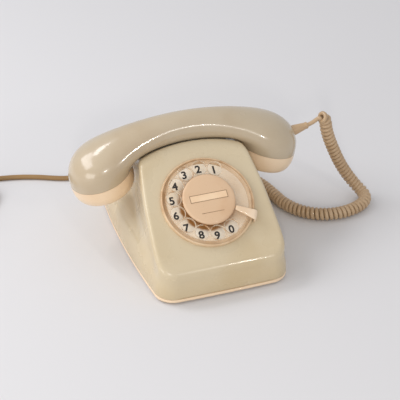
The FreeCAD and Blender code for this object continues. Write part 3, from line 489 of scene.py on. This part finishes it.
def housing_body(p):
    """Signed distance, roughly, to the housing before the cradle is cut."""
    x, y, z = p[..., 0], p[..., 1], p[..., 2]
    panel = (p - DIAL_AT) @ DIAL_OUT
    arch = np.hypot(x, z - (LIP_TOP - ARCH_R)) - ARCH_R
    rear_slope = ((y - 0.048) * 56 + (z - 0.100) * 55) / 78.5
    roof = corner(corner(arch, panel, 4 * MM), rear_slope, 13 * MM)
    sides = np.abs(x) - spline(SIDE_Y, SIDE_X, np.clip(y, -0.116, 0.112).ravel()).reshape(y.shape)
    rear_wall = ((y - 0.103) * 38.5 + (z - 0.044) * 3) / 38.6
    walls = corner(corner(sides, -y - 0.1112, 15 * MM), rear_wall, 22 * MM)
    tower = corner(walls, roof, 4.2 * MM)
    plan = base_outline(x, y)
    skirt = corner(corner(plan, z - SKIRT_TOP, 17 * MM, 32 * MM), panel, 5 * MM)
    fade = np.clip((y + 0.100) / 0.060, 0, 1)
    return valley(tower, skirt, (0.6 + 5 * fade * fade * (3 - 2 * fade)) * MM)


# %% [markdown]
# ## Handset
# The handset is one swept body: ellipses whose two ends run along the upper and the lower outline seen
# from the front, and whose width changes from the grip to the round cups. The same sections, a
# little larger, also give the hollow that it rests in.

# %% Handset sections
CUP_AT = np.array([84.3, 12.0, 78.2]) * MM
CUP_R, tilt = 31.0, math.radians(16.8)
CUP_OUT = np.array([-math.sin(tilt), 0, -math.cos(tilt)])
CUP_SIDE = np.array([math.cos(tilt), 0, -math.sin(tilt)])
seam_out, seam_in = ((CUP_AT / MM + s * CUP_R * CUP_SIDE)[[0, 2]] for s in (1, -1))
RIGHT_SECTIONS = [
    (*seam_out, *seam_in, CUP_R), (115.2, 80.5, 52.8, 91.0, 31.4), (111.8, 93.0, 50.0, 94.0, 30.7),
    (102.4, 103.6, 46.0, 96.2, 28.5), (86.6, 112.4, 40.5, 98.0, 25.0), (65.0, 120.0, 32.0, 99.3, 21.2),
    (38.0, 126.2, 19.0, 100.2, 17.8)]
sections = np.array(RIGHT_SECTIONS + [(0, 129.5, 0, 100.5, 16)]
                    + [(-a, b, -c, d, e) for a, b, c, d, e in reversed(RIGHT_SECTIONS)]) * MM
middles = (sections[:, :2] + sections[:, 2:4]) / 2
knots = np.concatenate([[0], np.cumsum(np.linalg.norm(np.diff(middles, axis=0), axis=1))])


def handset_rings(grow, rows, columns):
    """Grid of the swept ellipses: each point is the section's middle, plus cosine times the half
    length along it, plus sine times the half width across it."""
    at = spline(knots, sections, np.linspace(0, knots[-1], rows))
    middle, half = (at[:, :2] + at[:, 2:4]) / 2, (at[:, :2] - at[:, 2:4]) / 2
    half *= 1 + grow / np.linalg.norm(half, axis=1, keepdims=True)
    a = np.linspace(0, 2 * math.pi, columns, endpoint=False)
    flat = middle[:, None] + half[:, None] * np.cos(a)[:, None]
    y = CUP_AT[1] + (at[:, 4:] + grow) * np.sin(a)
    return np.stack([flat[..., 0], y, flat[..., 1]], -1)


handset_grid = handset_rings(0.0, 200, 112)
lip_in = 1 - 0.5 / CUP_R
ends = [handset_grid[i].mean(0) + (handset_grid[i] - handset_grid[i].mean(0)) * lip_in for i in (0, -1)]
toward = [np.array([s, 1, 1]) * CUP_OUT * 0.25 * MM for s in (1, -1)]
handset_rows = np.vstack([[ends[0] + toward[0]], handset_grid, [ends[1] + toward[1]]])
handset = skin("handset_body", handset_rows, sharp=50)
fit_out(handset, handset_plastic, "handset", "handset", "handset_shell")
print("handset", [round(x, 3) for x in handset.dimensions])

# %% [markdown]
# ### Cradle
# The handset rests in a hollow that fits it. So the hollow comes from the handset itself: a slightly
# larger handset is looked up from below on a fine grid, and the heights of its underside become a table
# that the housing's formula reads.

# %% Cradle: the height of the handset's underside, on a grid in plan
GAP, STEP = 1.4 * MM, 0.75 * MM
grown = handset_rings(GAP, 160, 96)
grown_tree = BVHTree.FromPolygons(grown.reshape(-1, 3).tolist(), grid_faces(160, 96))
CRADLE_X, CRADLE_Y = np.arange(-60, 60.1, 0.75) * MM, np.arange(-24, 48.1, 0.75) * MM
ABOVE_ALL = 0.2
under = np.full((len(CRADLE_X), len(CRADLE_Y)), ABOVE_ALL)
for i, x in enumerate(CRADLE_X):
    for j, y in enumerate(CRADLE_Y):
        hit = grown_tree.ray_cast(Vector((x, y, 0.02)), Vector((0, 0, 1)))[0]
        if hit is not None:
            under[i, j] = hit.z
steep = np.hypot(*np.gradient(under, STEP))
lean = np.clip(1 / np.sqrt(1 + np.minimum(steep, 4.0) ** 2), 0.3, 1)


def from_table(table, x, y):
    """Value of a table over the cradle's grid at any x, y, in proportion between its four neighbours."""
    i = np.clip((x - CRADLE_X[0]) / STEP, 0, len(CRADLE_X) - 1.001)
    j = np.clip((y - CRADLE_Y[0]) / STEP, 0, len(CRADLE_Y) - 1.001)
    i0, j0 = i.astype(int), j.astype(int)
    s, t = i - i0, j - j0
    return ((1 - s) * ((1 - t) * table[i0, j0] + t * table[i0, j0 + 1])
            + s * ((1 - t) * table[i0 + 1, j0] + t * table[i0 + 1, j0 + 1]))


def housing(p):
    """The housing with the cradle hollowed out and its lower edge on the base plate."""
    x, y, z = p[..., 0], p[..., 1], p[..., 2]
    hollow = (z - from_table(under, x, y)) * from_table(lean, x, y)
    return corner(corner(housing_body(p), hollow, 2.2 * MM), BASE_TOP - z, 0.7 * MM)


# %% [markdown]
# ### Surface from distances
# A box with a grid on each of its six faces is blown on to the surface: every grid point looks outwards
# from a point inside, steps along its ray until the distance turns positive, and halves the last step
# until it is exact. There are no poles, so the grid stays even.

# %% Housing surface
def box_directions(low, high, counts):
    """Six grids over a box's faces, as one list of points and one of quads."""
    points, faces = [], []
    for axis in range(3):
        a, b = [k for k in range(3) if k != axis]
        u, v = (np.linspace(low[k], high[k], counts[k] + 1) for k in (a, b))
        for end in (low[axis], high[axis]):
            face = np.empty((len(u), len(v), 3))
            face[..., a], face[..., b], face[..., axis] = u[:, None], v[None, :], end
            faces += grid_faces(len(u), len(v), False, False, sum(len(q) for q in points))
            points.append(face.reshape(-1, 3))
    return np.vstack(points), faces


def blown(inside, middle, directions, steps=26, halvings=16):
    """First place along each ray from the middle where the distance function turns positive."""
    low, high = np.zeros(len(directions)), np.full(len(directions), 1.6)
    found = np.zeros(len(directions), bool)
    for t in np.linspace(0.5, 1.6, steps):
        out = (inside(middle + directions * t) > 0) & ~found
        high[out], found = t, found | out
        low[~found] = t
    for _ in range(halvings):
        half = (low + high) / 2
        out = inside(middle + directions * half[:, None]) > 0
        high[out], low[~out] = half[out], half[~out]
    return middle + directions * high[:, None]


MIDDLE = np.array([0.0, 5.0, 30.0]) * MM
BOX_LOW, BOX_HIGH = np.array([[-72, -119, -25], [72, 109, 76.0]]) * MM
BOX_CELLS = (96, 152, 68)
rays, quads = box_directions(BOX_LOW, BOX_HIGH, BOX_CELLS)
cover = finish_mesh("housing", blown(housing, MIDDLE, rays), quads, sharp=60)
fit_out(cover, housing_plastic, "base", "housing", "housing_cover")
print("housing", [round(x, 3) for x in cover.dimensions], len(cover.data.polygons), "quads")

# %% [markdown]
# ### Base plate's rim
# The base plate shows as a thin pale line under the housing. Its edge is the housing's own outline,
# drawn a little further in or out at each of a few heights, which rounds it.

# %% Base plate's rim
turn = np.linspace(0, 2 * math.pi, 400, endpoint=False)
spread = np.column_stack([75 * np.cos(turn), 118 * np.sin(turn)]) * MM


def outline_ring(inset, z):
    """Ring of points on the base's outline at a height, found along rays in plan."""
    def plan(q):
        return base_outline(q[..., 0], q[..., 1], inset)
    flat = blown(plan, np.zeros(2), spread)
    return np.column_stack([flat, np.full(len(flat), z)])


RIM = [(1.6, 2.0), (0.7, 2.05), (0.15, 2.5), (0.0, 3.2), (0.0, 4.6), (0.2, 5.1), (0.7, 5.3), (2.5, 5.35)]
plate = skin("base_rim", np.stack([outline_ring(i * MM, z * MM) for i, z in RIM]), sharp=60)
fit_out(plate, trim_plastic, "base", "trim", "base_plate")

# %% [markdown]
# ## Caps, reliefs and small moulded parts
# A cap screws on to each cup. Its outside is a turned profile, so it is a surface of revolution in
# the cup's own frame. The sound holes are cut afterwards with a Boolean, the usual way to make a few
# real holes in a smooth shell.

# %% Ear and mouth cap
def on_cup(sign):
    """Map from a cup's frame, z out through its cap, to the model: sign is 1 for the right cup."""
    flip = np.array([sign, 1, 1])
    return lambda q: (CUP_AT + q[..., :1] * CUP_SIDE + q[..., 1:2] * [0, -1, 0] + q[..., 2:] * CUP_OUT) * flip


def cut_away(piece, tools):
    """Cut closed tool meshes out of a piece and keep its edges crisp."""
    for tool in tools:
        boolean = piece.modifiers.new("cut", "BOOLEAN")
        boolean.object, boolean.operation = tool, "DIFFERENCE"
    piece.data = bpy.data.meshes.new_from_object(piece.evaluated_get(bpy.context.evaluated_depsgraph_get()))
    piece.modifiers.clear()
    piece.data.set_sharp_from_angle(angle=math.radians(35))
    for tool in tools:
        bpy.data.objects.remove(tool)


wall = spline([0, 1, 2, 3, 4], [(31, 0.35), (31.1, 6.5), (30.0, 13), (26.6, 18.3), (21.5, 19)],
              np.linspace(0, 4, 33))
dish = [(21.0, 18.98), (20.4, 18.6), (19.9, 18.3), (14, 17.9), (7, 17.5), (1.0, 17.3)]
cap_profile = np.vstack([[(29.0, 0.3), (30.6, 0.3)], wall, dish])
DRILL = [(1.3, 14.0), (1.3, 22.0)]
HOLE_RINGS = {"ear": ((6, 5.0), (12, 10.0)), "mouth": ((8, 6.5), (8, 12.5))}     # holes, ring radius
for name, sign in (("ear", -1), ("mouth", 1)):
    cap = revolve(name + "_cap_body", cap_profile, on_cup(sign), 144)
    spots = [(0.0, 0.0)] + [(r * math.cos(2 * math.pi * i / n), r * math.sin(2 * math.pi * i / n))
                            for n, r in HOLE_RINGS[name] for i in range(n)]
    drills = [revolve("drill", DRILL, lambda q, s=spot: on_cup(sign)(q + np.array([*s, 0]) * MM), 16)
              for spot in spots]
    cut_away(cap, drills)
    fit_out(cap, trim_plastic, "handset", "trim", name + "_cap")
    print(cap.name, len(cap.data.polygons), "faces")

# %% [markdown]
# ### Strain relief
# Where the cord leaves the handset, a soft sleeve keeps it from breaking: a taper with a small collar at
# its thin end. It is round about its own axis, so it is one more turned profile, laid along that axis.

# %% Strain relief
RELIEF_FROM, RELIEF_TO = np.array([113, 12, 87.0]) * MM, np.array([129, 12, 90.5]) * MM
relief_axis = (RELIEF_TO - RELIEF_FROM) / np.linalg.norm(RELIEF_TO - RELIEF_FROM)
relief_side = np.cross([0, 1, 0], relief_axis)


def on_relief(q):
    """Relief's frame, z towards its thin end, to the model."""
    return (RELIEF_FROM + q[..., :1] * relief_side + q[..., 1:2] * np.array([0, 1, 0])
            + q[..., 2:] * relief_axis)


RELIEF_PROFILE = [(5.6, -3), (5.5, -1), (5.2, 2.5), (4.7, 6), (4.1, 9.5), (3.6, 12.5), (3.3, 14.2),
                  (3.45, 14.9), (3.5, 15.8), (3.2, 16.4), (2.4, 16.6)]
relief = revolve("cord_relief", RELIEF_PROFILE, on_relief, 64)
fit_out(relief, relief_plastic, "handset", "trim", "handset_cord_relief")

# %% [markdown]
# ## Dial
# From below: a turned rim let into the housing, a pale ring with the digits, the clear finger disc with
# ten holes, the opaque middle with its blank label, and the finger stop, which reaches over from
# the rim. All are drawn in the dial's own frame and laid on the sloping panel.

# %% Rim and number ring
def on_dial(q):
    """Dial frame to model: x stays, y runs up the panel, z stands out of it."""
    return DIAL_AT + q[..., :1] * np.array([1.0, 0, 0]) + q[..., 1:2] * DIAL_UP + q[..., 2:] * DIAL_OUT


RIM_OF_DIAL = [(39.4, -6), (41.2, -6), (41.3, 0), (45.0, 0), (45.15, 0.6), (45.1, 1.7), (44.9, 2.6),
               (44.5, 3.3), (44.0, 3.6), (43.5, 3.5), (43.1, 3.0), (42.9, 2.3), (42.7, 1.5), (42.2, 1.1),
               (39.5, 0.95)]
rim = revolve("dial_rim", RIM_OF_DIAL, on_dial, 200, closed=True, sharp=60)
fit_out(rim, rim_plastic, "base", "dial_rim", "dial_bezel")


def dial_aged(name, tone, aged, dirt, **constants):
    """Plastic of the number ring or the disc: dirt gathers round the middle and at the holes' inner
    ends, where fingers never clean it. Distances are taken in the dial's own frame, in metres."""
    r = Recipe(name, IOR=1.5, **constants)
    centred = r.node("ShaderNodeVectorMath", {"operation": "SUBTRACT"}, {0: r.place, 1: tuple(DIAL_AT)})

    def along(axis):
        return r.node("ShaderNodeVectorMath", {"operation": "DOT_PRODUCT"}, {0: centred, 1: tuple(axis)},
                      out=1)

    x, y = along((1, 0, 0)), along(DIAL_UP)
    reach = r.node("ShaderNodeVectorMath", {"operation": "LENGTH"}, {0: centred}, out=1)
    cloud = r.noise(120.0, 3.0, 0.6)
    ring_dirt = 1 - r.between(reach + (cloud - 0.5) * 0.008, 0.0255, 0.0315)
    low = 1 - r.between(y + x * 0.35, -0.022, 0.012)
    left = 1 - r.between(x, -0.02, 0.02)
    amount = r.between(ring_dirt * (0.35 + low * 0.65) * (0.55 + left * 0.45) + (cloud - 0.52) * 0.5,
                       0.05, 0.75)
    colour = r.mix(linear(*tone), linear(*aged), r.between(r.noise(45.0, 2.0), 0.35, 0.7))
    colour = r.mix(colour, linear(*dirt), amount)
    r.feed(r.shader.inputs["Base Color"], colour)
    r.feed(r.shader.inputs["Roughness"], 0.32 + cloud * 0.2)
    r.bump(r.noise(500.0, 2.0), 0.08, 0.0004)
    return r


ring_material = dial_aged("number_ring_plastic", (244, 234, 216), (238, 222, 196), (170, 118, 64),
                          Coat_Weight=0.3).material
RING_PROFILE = [(20, -1.6), (39.3, -1.6), (39.3, 0.85), (39.0, 0.9), (30, 0.72), (24, 0.5), (20, 0.5)]
number_ring = revolve("number_ring_face", RING_PROFILE, on_dial, 200, closed=True, sharp=50)
fit_out(number_ring, ring_material, "base", "number_ring", "number_ring")

# %% [markdown]
# ### Digits
# The digits are printed on the ring, one under each hole. A font gives their outlines, and a small bevel
# makes them as bold as the real ones. They become one mesh, stretched to one height.

# %% Digits
FIRST_HOLE, HOLE_STEP, HOLE_RING, DIGIT_RING, DIGIT_H = 64.29, 360 / 14, 33.2 * MM, 34.2 * MM, 8.6 * MM
ink = Recipe("digit_ink", Roughness=0.5)
ink.feed(ink.shader.inputs["Base Color"], ink.mix(linear(38, 34, 32), linear(64, 58, 54),
                                                  ink.between(ink.noise(800.0, 2.0), 0.45, 0.7)))
digit_points, digit_faces = [], []
for i, digit in enumerate("1234567890"):
    text = bpy.data.objects.new("digit", bpy.data.curves.new("digit", "FONT"))
    text.data.body, text.data.size, text.data.extrude = digit, 1.0, 0.01
    text.data.bevel_depth, text.data.bevel_resolution, text.data.resolution_u = 0.03, 1, 8
    bpy.context.scene.collection.objects.link(text)
    mesh = bpy.data.meshes.new_from_object(text.evaluated_get(bpy.context.evaluated_depsgraph_get()))
    flat = np.empty(len(mesh.vertices) * 3)
    mesh.vertices.foreach_get("co", flat)
    flat = flat.reshape(-1, 3)
    low, high = flat.min(0), flat.max(0)
    flat = (flat - (low + high) / 2) * (DIGIT_H * 0.92 / (high[1] - low[1]))
    flat[:, 2] *= 0.3
    angle = math.radians(FIRST_HOLE + HOLE_STEP * i)
    spot = np.array([DIGIT_RING * math.cos(angle), DIGIT_RING * math.sin(angle), 0.9 * MM])
    digit_faces += [[v + sum(map(len, digit_points)) for v in p.vertices] for p in mesh.polygons]
    digit_points.append(on_dial(flat * np.array([1.04, 1.0, 1.0]) + spot))
    bpy.data.objects.remove(text)
    bpy.data.meshes.remove(mesh)
digits = finish_mesh("digits", np.vstack(digit_points), digit_faces, 30)
fit_out(digits, ink.material, "base", "number_ring")

# %% [markdown]
# ### Finger disc
# The disc is a flat turned profile with ten holes cut by a Boolean. It is clear but clouded, so it mixes
# a low alpha, higher where it is seen at a slant, with the same dirt as the ring below. The rims of the holes
# are polished by fingers, and each gets its own narrow, glossier ring, pale as a painted highlight where the
# edge catches the light, with patches of brown dirt.

# %% Finger disc
clear = dial_aged("clear_plastic", (240, 214, 180), (232, 200, 162), (166, 114, 62), Coat_Weight=0.6)
facing = clear.node("ShaderNodeLayerWeight", None, {"Blend": 0.25}, out="Facing")
cloudy = clear.between(clear.noise(60.0, 2.0), 0.5, 0.8)
clear.feed(clear.shader.inputs["Alpha"], 0.20 + facing * 0.4 + cloudy * 0.1)
disc_profile = [(3.0, 4.2), (40.6, 4.2), (41.0, 4.6), (41.0, 5.9), (40.6, 6.4), (3.0, 6.4)]
disc = revolve("finger_disc_clear", disc_profile, on_dial, 160, closed=True)
hole_angles = [math.radians(FIRST_HOLE + HOLE_STEP * i) for i in range(10)]
hole_spots = [np.array([HOLE_RING * math.cos(a), HOLE_RING * math.sin(a), 0.0]) for a in hole_angles]
cut_away(disc, [revolve("drill", [(6.9, 2.0), (6.9, 9.0)], lambda q, s=spot: on_dial(q + s), 48)
                for spot in hole_spots])
fit_out(disc, clear.material, "dial", "clear", "finger_disc")

# The rims' pale colour is a painted highlight where the edges catch the light; the brown patches are dirt.
edge = Recipe("hole_rim_plastic", Roughness=0.22, Coat_Weight=0.6, IOR=1.5)
edge_mask = edge.between(edge.noise(140.0, 3.0, 0.6), 0.42, 0.68)
edge.feed(edge.shader.inputs["Base Color"], edge.mix(linear(246, 232, 208), linear(196, 148, 96), edge_mask))
edge.feed(edge.shader.inputs["Alpha"], 0.50 + edge_mask * 0.25)
RIM_PROFILE = np.array([(6.88, 4.3), (6.88, 5.9), (7.0, 6.3), (7.25, 6.5), (7.5, 6.45), (7.6, 6.2), (7.3, 5.6),
                        (7.1, 4.3)])
around = np.linspace(0, 2 * math.pi, 48, endpoint=False)
rim_points, rim_faces = [], []
for i, spot in enumerate(hole_spots):
    r, h = RIM_PROFILE[:, :1] * MM, RIM_PROFILE[:, 1:] * MM
    local = np.stack([r * np.cos(around), r * np.sin(around), h + 0 * around], -1) + spot
    rim_faces += grid_faces(len(RIM_PROFILE), 48, True, True, i * 48 * len(RIM_PROFILE))
    rim_points.append(on_dial(local).reshape(-1, 3))
hole_rims = finish_mesh("finger_hole_rims", np.vstack(rim_points), rim_faces, 60)
fit_out(hole_rims, edge.material, "dial", "clear")

# %% [markdown]
# ### Middle of the disc
# The opaque middle covers the bearing. It carries a framed label for the telephone's own number, which
# is blank here, and a thin printed line. The lines are raised by a few hundredths of a millimetre, as a
# printed line needs a surface of its own to be seen.

# %% Middle of the disc, its label and the thin printed lines
CENTRE_PROFILE = [(25.2, 6.4), (25.4, 6.7), (25.4, 7.9), (25.1, 8.5), (24.4, 8.95), (23.2, 9.2), (12, 9.35),
                  (0.05, 9.4)]
middle = revolve("centre_disc_face", CENTRE_PROFILE, on_dial, 160, sharp=50)
fit_out(middle, disc_plastic, "dial", "centre", "centre_disc")
LABEL_UP, LABEL_HALF, LABEL_TOP = 2.0, (18.2, 3.4), 9.46


def thin_line(name, corners, half_width, closed):
    """A raised line along corners in the dial's frame: four rows give it a flat-topped section."""
    corners = np.array(corners, float)
    before, after = np.roll(corners, 1, 0), np.roll(corners, -1, 0)
    if not closed:
        before[0], after[-1] = 2 * corners[0] - corners[1], 2 * corners[-1] - corners[-2]
    d1, d2 = corners - before, after - corners
    d1, d2 = (d / np.linalg.norm(d, axis=1, keepdims=True) for d in (d1, d2))
    out = np.column_stack([d1[:, 1] + d2[:, 1], -d1[:, 0] - d2[:, 0]])
    out /= (1 + (d1 * d2).sum(1, keepdims=True))
    rows = [(1, -0.25), (1, 0.06), (-1, 0.06), (-1, -0.25)]
    grid = np.stack([np.column_stack([corners + out * s * half_width, np.full(len(corners), LABEL_TOP + h)])
                     for s, h in rows], 1) * MM
    return skin(name, on_dial(grid), wrap_rows=closed, sharp=20)


w, h = LABEL_HALF
label_corners = [(-w, LABEL_UP - h), (w, LABEL_UP - h), (w, LABEL_UP + h), (-w, LABEL_UP + h)]
frame_line = thin_line("label_outline", label_corners, 0.2, True)
note_line = thin_line("label_rule", [(-11.0, -13.6), (0, -13.6), (11.0, -13.6)], 0.13, False)
line_ink = moulded("label_ink", (120, 88, 62), (136, 102, 74), (96, 70, 50), rough=0.5, coat=0.0)
card_y, card_low, card_top = h - 0.2, LABEL_TOP - 0.3, LABEL_TOP - 0.02
card_section = [(-card_y, card_low), (-card_y, card_top), (card_y, card_top), (card_y, card_low)]
card_grid = [[(x, LABEL_UP + y, z) for y, z in card_section] for x in np.linspace(-w + 0.2, w - 0.2, 9)]
card_face = skin("label_face", on_dial(np.array(card_grid) * MM), sharp=20)
paper = moulded("label_card_face", (238, 208, 172), (232, 198, 160), (206, 170, 130), rough=0.45, coat=0.2,
                aged_scale=60)
fit_out(frame_line, line_ink, "dial", "card")
fit_out(note_line, line_ink, "dial", "card")
fit_out(card_face, paper, "dial", "card", "label_card")

# %% [markdown]
# ### Finger stop
# A rounded bar starts beside the middle, widens outwards and bends down over the rim. It is swept: the
# points below give its distance from the dial's middle, its height and half its width, and every
# section is a circle squared off by a small exponent.

# %% Finger stop
STOP_POINTS = [(26.7, 8.0, 1.9), (27.6, 8.1, 2.35), (36, 8.2, 3.5), (43.5, 8.1, 4.6), (46.0, 7.2, 4.8),
               (46.6, 4.6, 4.7), (46.7, 0.2, 4.5)]
stop_path = spline(range(7), STOP_POINTS, np.linspace(0, 6, 49))
stop_along = np.gradient(stop_path[:, :2], axis=0)
stop_along /= np.linalg.norm(stop_along, axis=1, keepdims=True)
stop_edge = math.radians(-25.4)
stop_out = np.array([math.cos(stop_edge), math.sin(stop_edge), 0])
stop_wide = np.array([math.sin(stop_edge), -math.cos(stop_edge), 0])
turn = np.linspace(0, 2 * math.pi, 48, endpoint=False)
box_c, box_s = (np.sign(f(turn)) * np.abs(f(turn)) ** 0.42 for f in (np.cos, np.sin))
thick = np.interp(stop_path[:, 0], [26.7, 27.6, 45, 47.2], [0.8, 1.2, 1.35, 1.1])[:, None]
wide = stop_path[:, 2:3] * (1 + box_c)
r = stop_path[:, :1] - stop_along[:, 1:] * thick * box_s
z = stop_path[:, 1:2] + stop_along[:, :1] * thick * box_s
grid = r[..., None] * stop_out + wide[..., None] * stop_wide + z[..., None] * np.array([0, 0, 1.0])
stop = skin("finger_stop_bar", on_dial(grid * MM), sharp=50)
fit_out(stop, stop_plastic, "base", "ivory", "finger_stop")

# %% [markdown]
# ## What stays as the CAD made it
# The works inside, the feet, the glands, the plug and its pins have the right shape already, so they keep
# their CAD meshes and only get a finish. Metals differ by tone, gloss and a little brushing.

# %% Works and fixings
def metal(name, tone, dull, rough, grain=220.0):
    """Metal with tarnish in patches and fine drawn lines."""
    r = Recipe(name, Metallic=1.0)
    tarnish = r.between(r.noise(90.0, 4.0, 0.6), 0.42, 0.72)
    r.feed(r.shader.inputs["Base Color"], r.mix(linear(*tone), linear(*dull), tarnish))
    r.feed(r.shader.inputs["Roughness"], rough + tarnish * 0.18)
    r.bump(r.noise(grain, 2.0, 0.5, (1, 1, 14)), 0.12, 0.0003)
    return r.material


FINISHES = {
    "rubber": moulded("foot_rubber", (46, 44, 42), (62, 58, 54), (30, 28, 28), rough=0.7, coat=0.0),
    "steel": metal("steel", (176, 178, 182), (120, 118, 116), 0.32),
    "board": moulded("board_laminate", (150, 112, 60), (128, 92, 46), (92, 62, 30), rough=0.5, coat=0.1),
    "board_post": moulded("post_nylon", (206, 200, 186), (190, 182, 164), (150, 142, 126),
                          rough=0.5, coat=0.0),
    "iron": metal("iron_yoke", (120, 118, 116), (84, 78, 74), 0.45),
    "capacitor": moulded("capacitor_case", (170, 132, 52), (150, 112, 40), (110, 80, 30), rough=0.4),
    "terminal": moulded("terminal_resin", (60, 48, 42), (78, 62, 52), (40, 32, 28), rough=0.45),
    "zinc": metal("zinc_plate", (196, 194, 186), (150, 146, 136), 0.38),
    "winding": metal("copper_winding", (186, 104, 62), (132, 70, 40), 0.35, 900.0),
    "gong": metal("gong_brass", (206, 182, 118), (160, 134, 78), 0.24),
    "contact": metal("contact_silver", (214, 206, 188), (168, 156, 132), 0.28),
    "plunger": moulded("plunger_plastic", (226, 214, 190), (214, 198, 168), (170, 150, 118), rough=0.34),
    "brass": metal("wheel_brass", (210, 178, 104), (156, 124, 66), 0.3),
    "spring_steel": metal("spring_steel", (150, 154, 162), (104, 104, 108), 0.26),
    "capsule": metal("capsule_case", (186, 186, 184), (138, 134, 130), 0.34),
    "cord_gland": moulded("gland_plastic", (212, 190, 156), (196, 170, 130), (150, 120, 84), rough=0.45),
    "tie": moulded("tie_strip", (70, 64, 58), (86, 78, 70), (50, 44, 40), rough=0.6, coat=0.0),
    "plug": moulded("plug_plastic", (188, 160, 116), (172, 142, 98), (134, 104, 68), rough=0.4),
    "clear": clear.material, "card": paper, "centre": disc_plastic, "ivory": stop_plastic,
    "handset": handset_plastic, "housing": housing_plastic, "trim": trim_plastic, "dial_rim": rim_plastic,
    "number_ring": ring_material, "line": line_rubber, "curl": curl_rubber,
}
slot_of = {row["node"]: row["material_slot"] for row in frame["record"]["subparts"]}
for node, piece in frame["nodes"].items():
    dress(piece, FINISHES[slot_of[node]])
print("finished", len(frame["nodes"]), "CAD nodes with", len(set(slot_of.values())), "slots")

# %% [markdown]

# %% [markdown]
# ## Table and light
# Glossy plastic shows its surroundings, so the lights are placed by the highlights they have to draw. A
# wide window on the left gives the bright patch on the handset's cup and the line down the panel's edge.
# Two small lights in front give the sharp spots on the cups and the line along the front edge. A low
# fill keeps the left flank light, and an even, light surround over a pale table does the rest.

# %% Table and light
TABLE_HALF = 3.0
floor = finish_mesh("table", [(-TABLE_HALF, -TABLE_HALF, 0), (TABLE_HALF, -TABLE_HALF, 0),
                              (TABLE_HALF, TABLE_HALF, 0), (-TABLE_HALF, TABLE_HALF, 0)], [[0, 1, 2, 3]])
paper_sweep = Recipe("table_paper", Roughness=0.75)
paper_sweep.feed(paper_sweep.shader.inputs["Base Color"],
                 paper_sweep.mix(linear(220, 219, 220), linear(216, 215, 216), paper_sweep.noise(1.2, 1.0)))
dress(floor, paper_sweep.material)

world = bpy.data.worlds.new("studio")
bpy.context.scene.world = world
world.use_nodes = True
world.node_tree.nodes["Background"].inputs["Color"].default_value = linear(238, 238, 240)
world.node_tree.nodes["Background"].inputs["Strength"].default_value = 0.72


def softbox(name, at, size, watts, colour):
    """A rectangular light of the given size that faces the middle of the telephone."""
    light = bpy.data.lights.new(name, "AREA")
    light.shape, (light.size, light.size_y), light.energy = "RECTANGLE", size, watts
    light.color = linear(*colour)[:3]
    made = bpy.data.objects.new(name, light)
    made.location = at
    made.rotation_euler = (Vector((0, 0, 0.06)) - Vector(at)).to_track_quat("-Z", "Y").to_euler()
    bpy.context.scene.collection.objects.link(made)


DAYLIGHT, WARM, PALE = (252, 252, 255), (255, 251, 246), (255, 252, 248)
softbox("window", (-1.15, 0.40, 1.05), (1.3, 0.55), 10, DAYLIGHT)
softbox("window_top", (-0.72, 0.72, 1.50), (0.5, 0.3), 4, DAYLIGHT)
softbox("front_right", (0.52, -1.52, 0.86), (0.05, 0.14), 2.4, WARM)
softbox("front_left", (-0.52, -1.50, 0.84), (0.08, 0.14), 4, WARM)
softbox("fill_left", (-1.40, -0.75, 0.35), (0.8, 0.5), 4.5, PALE)
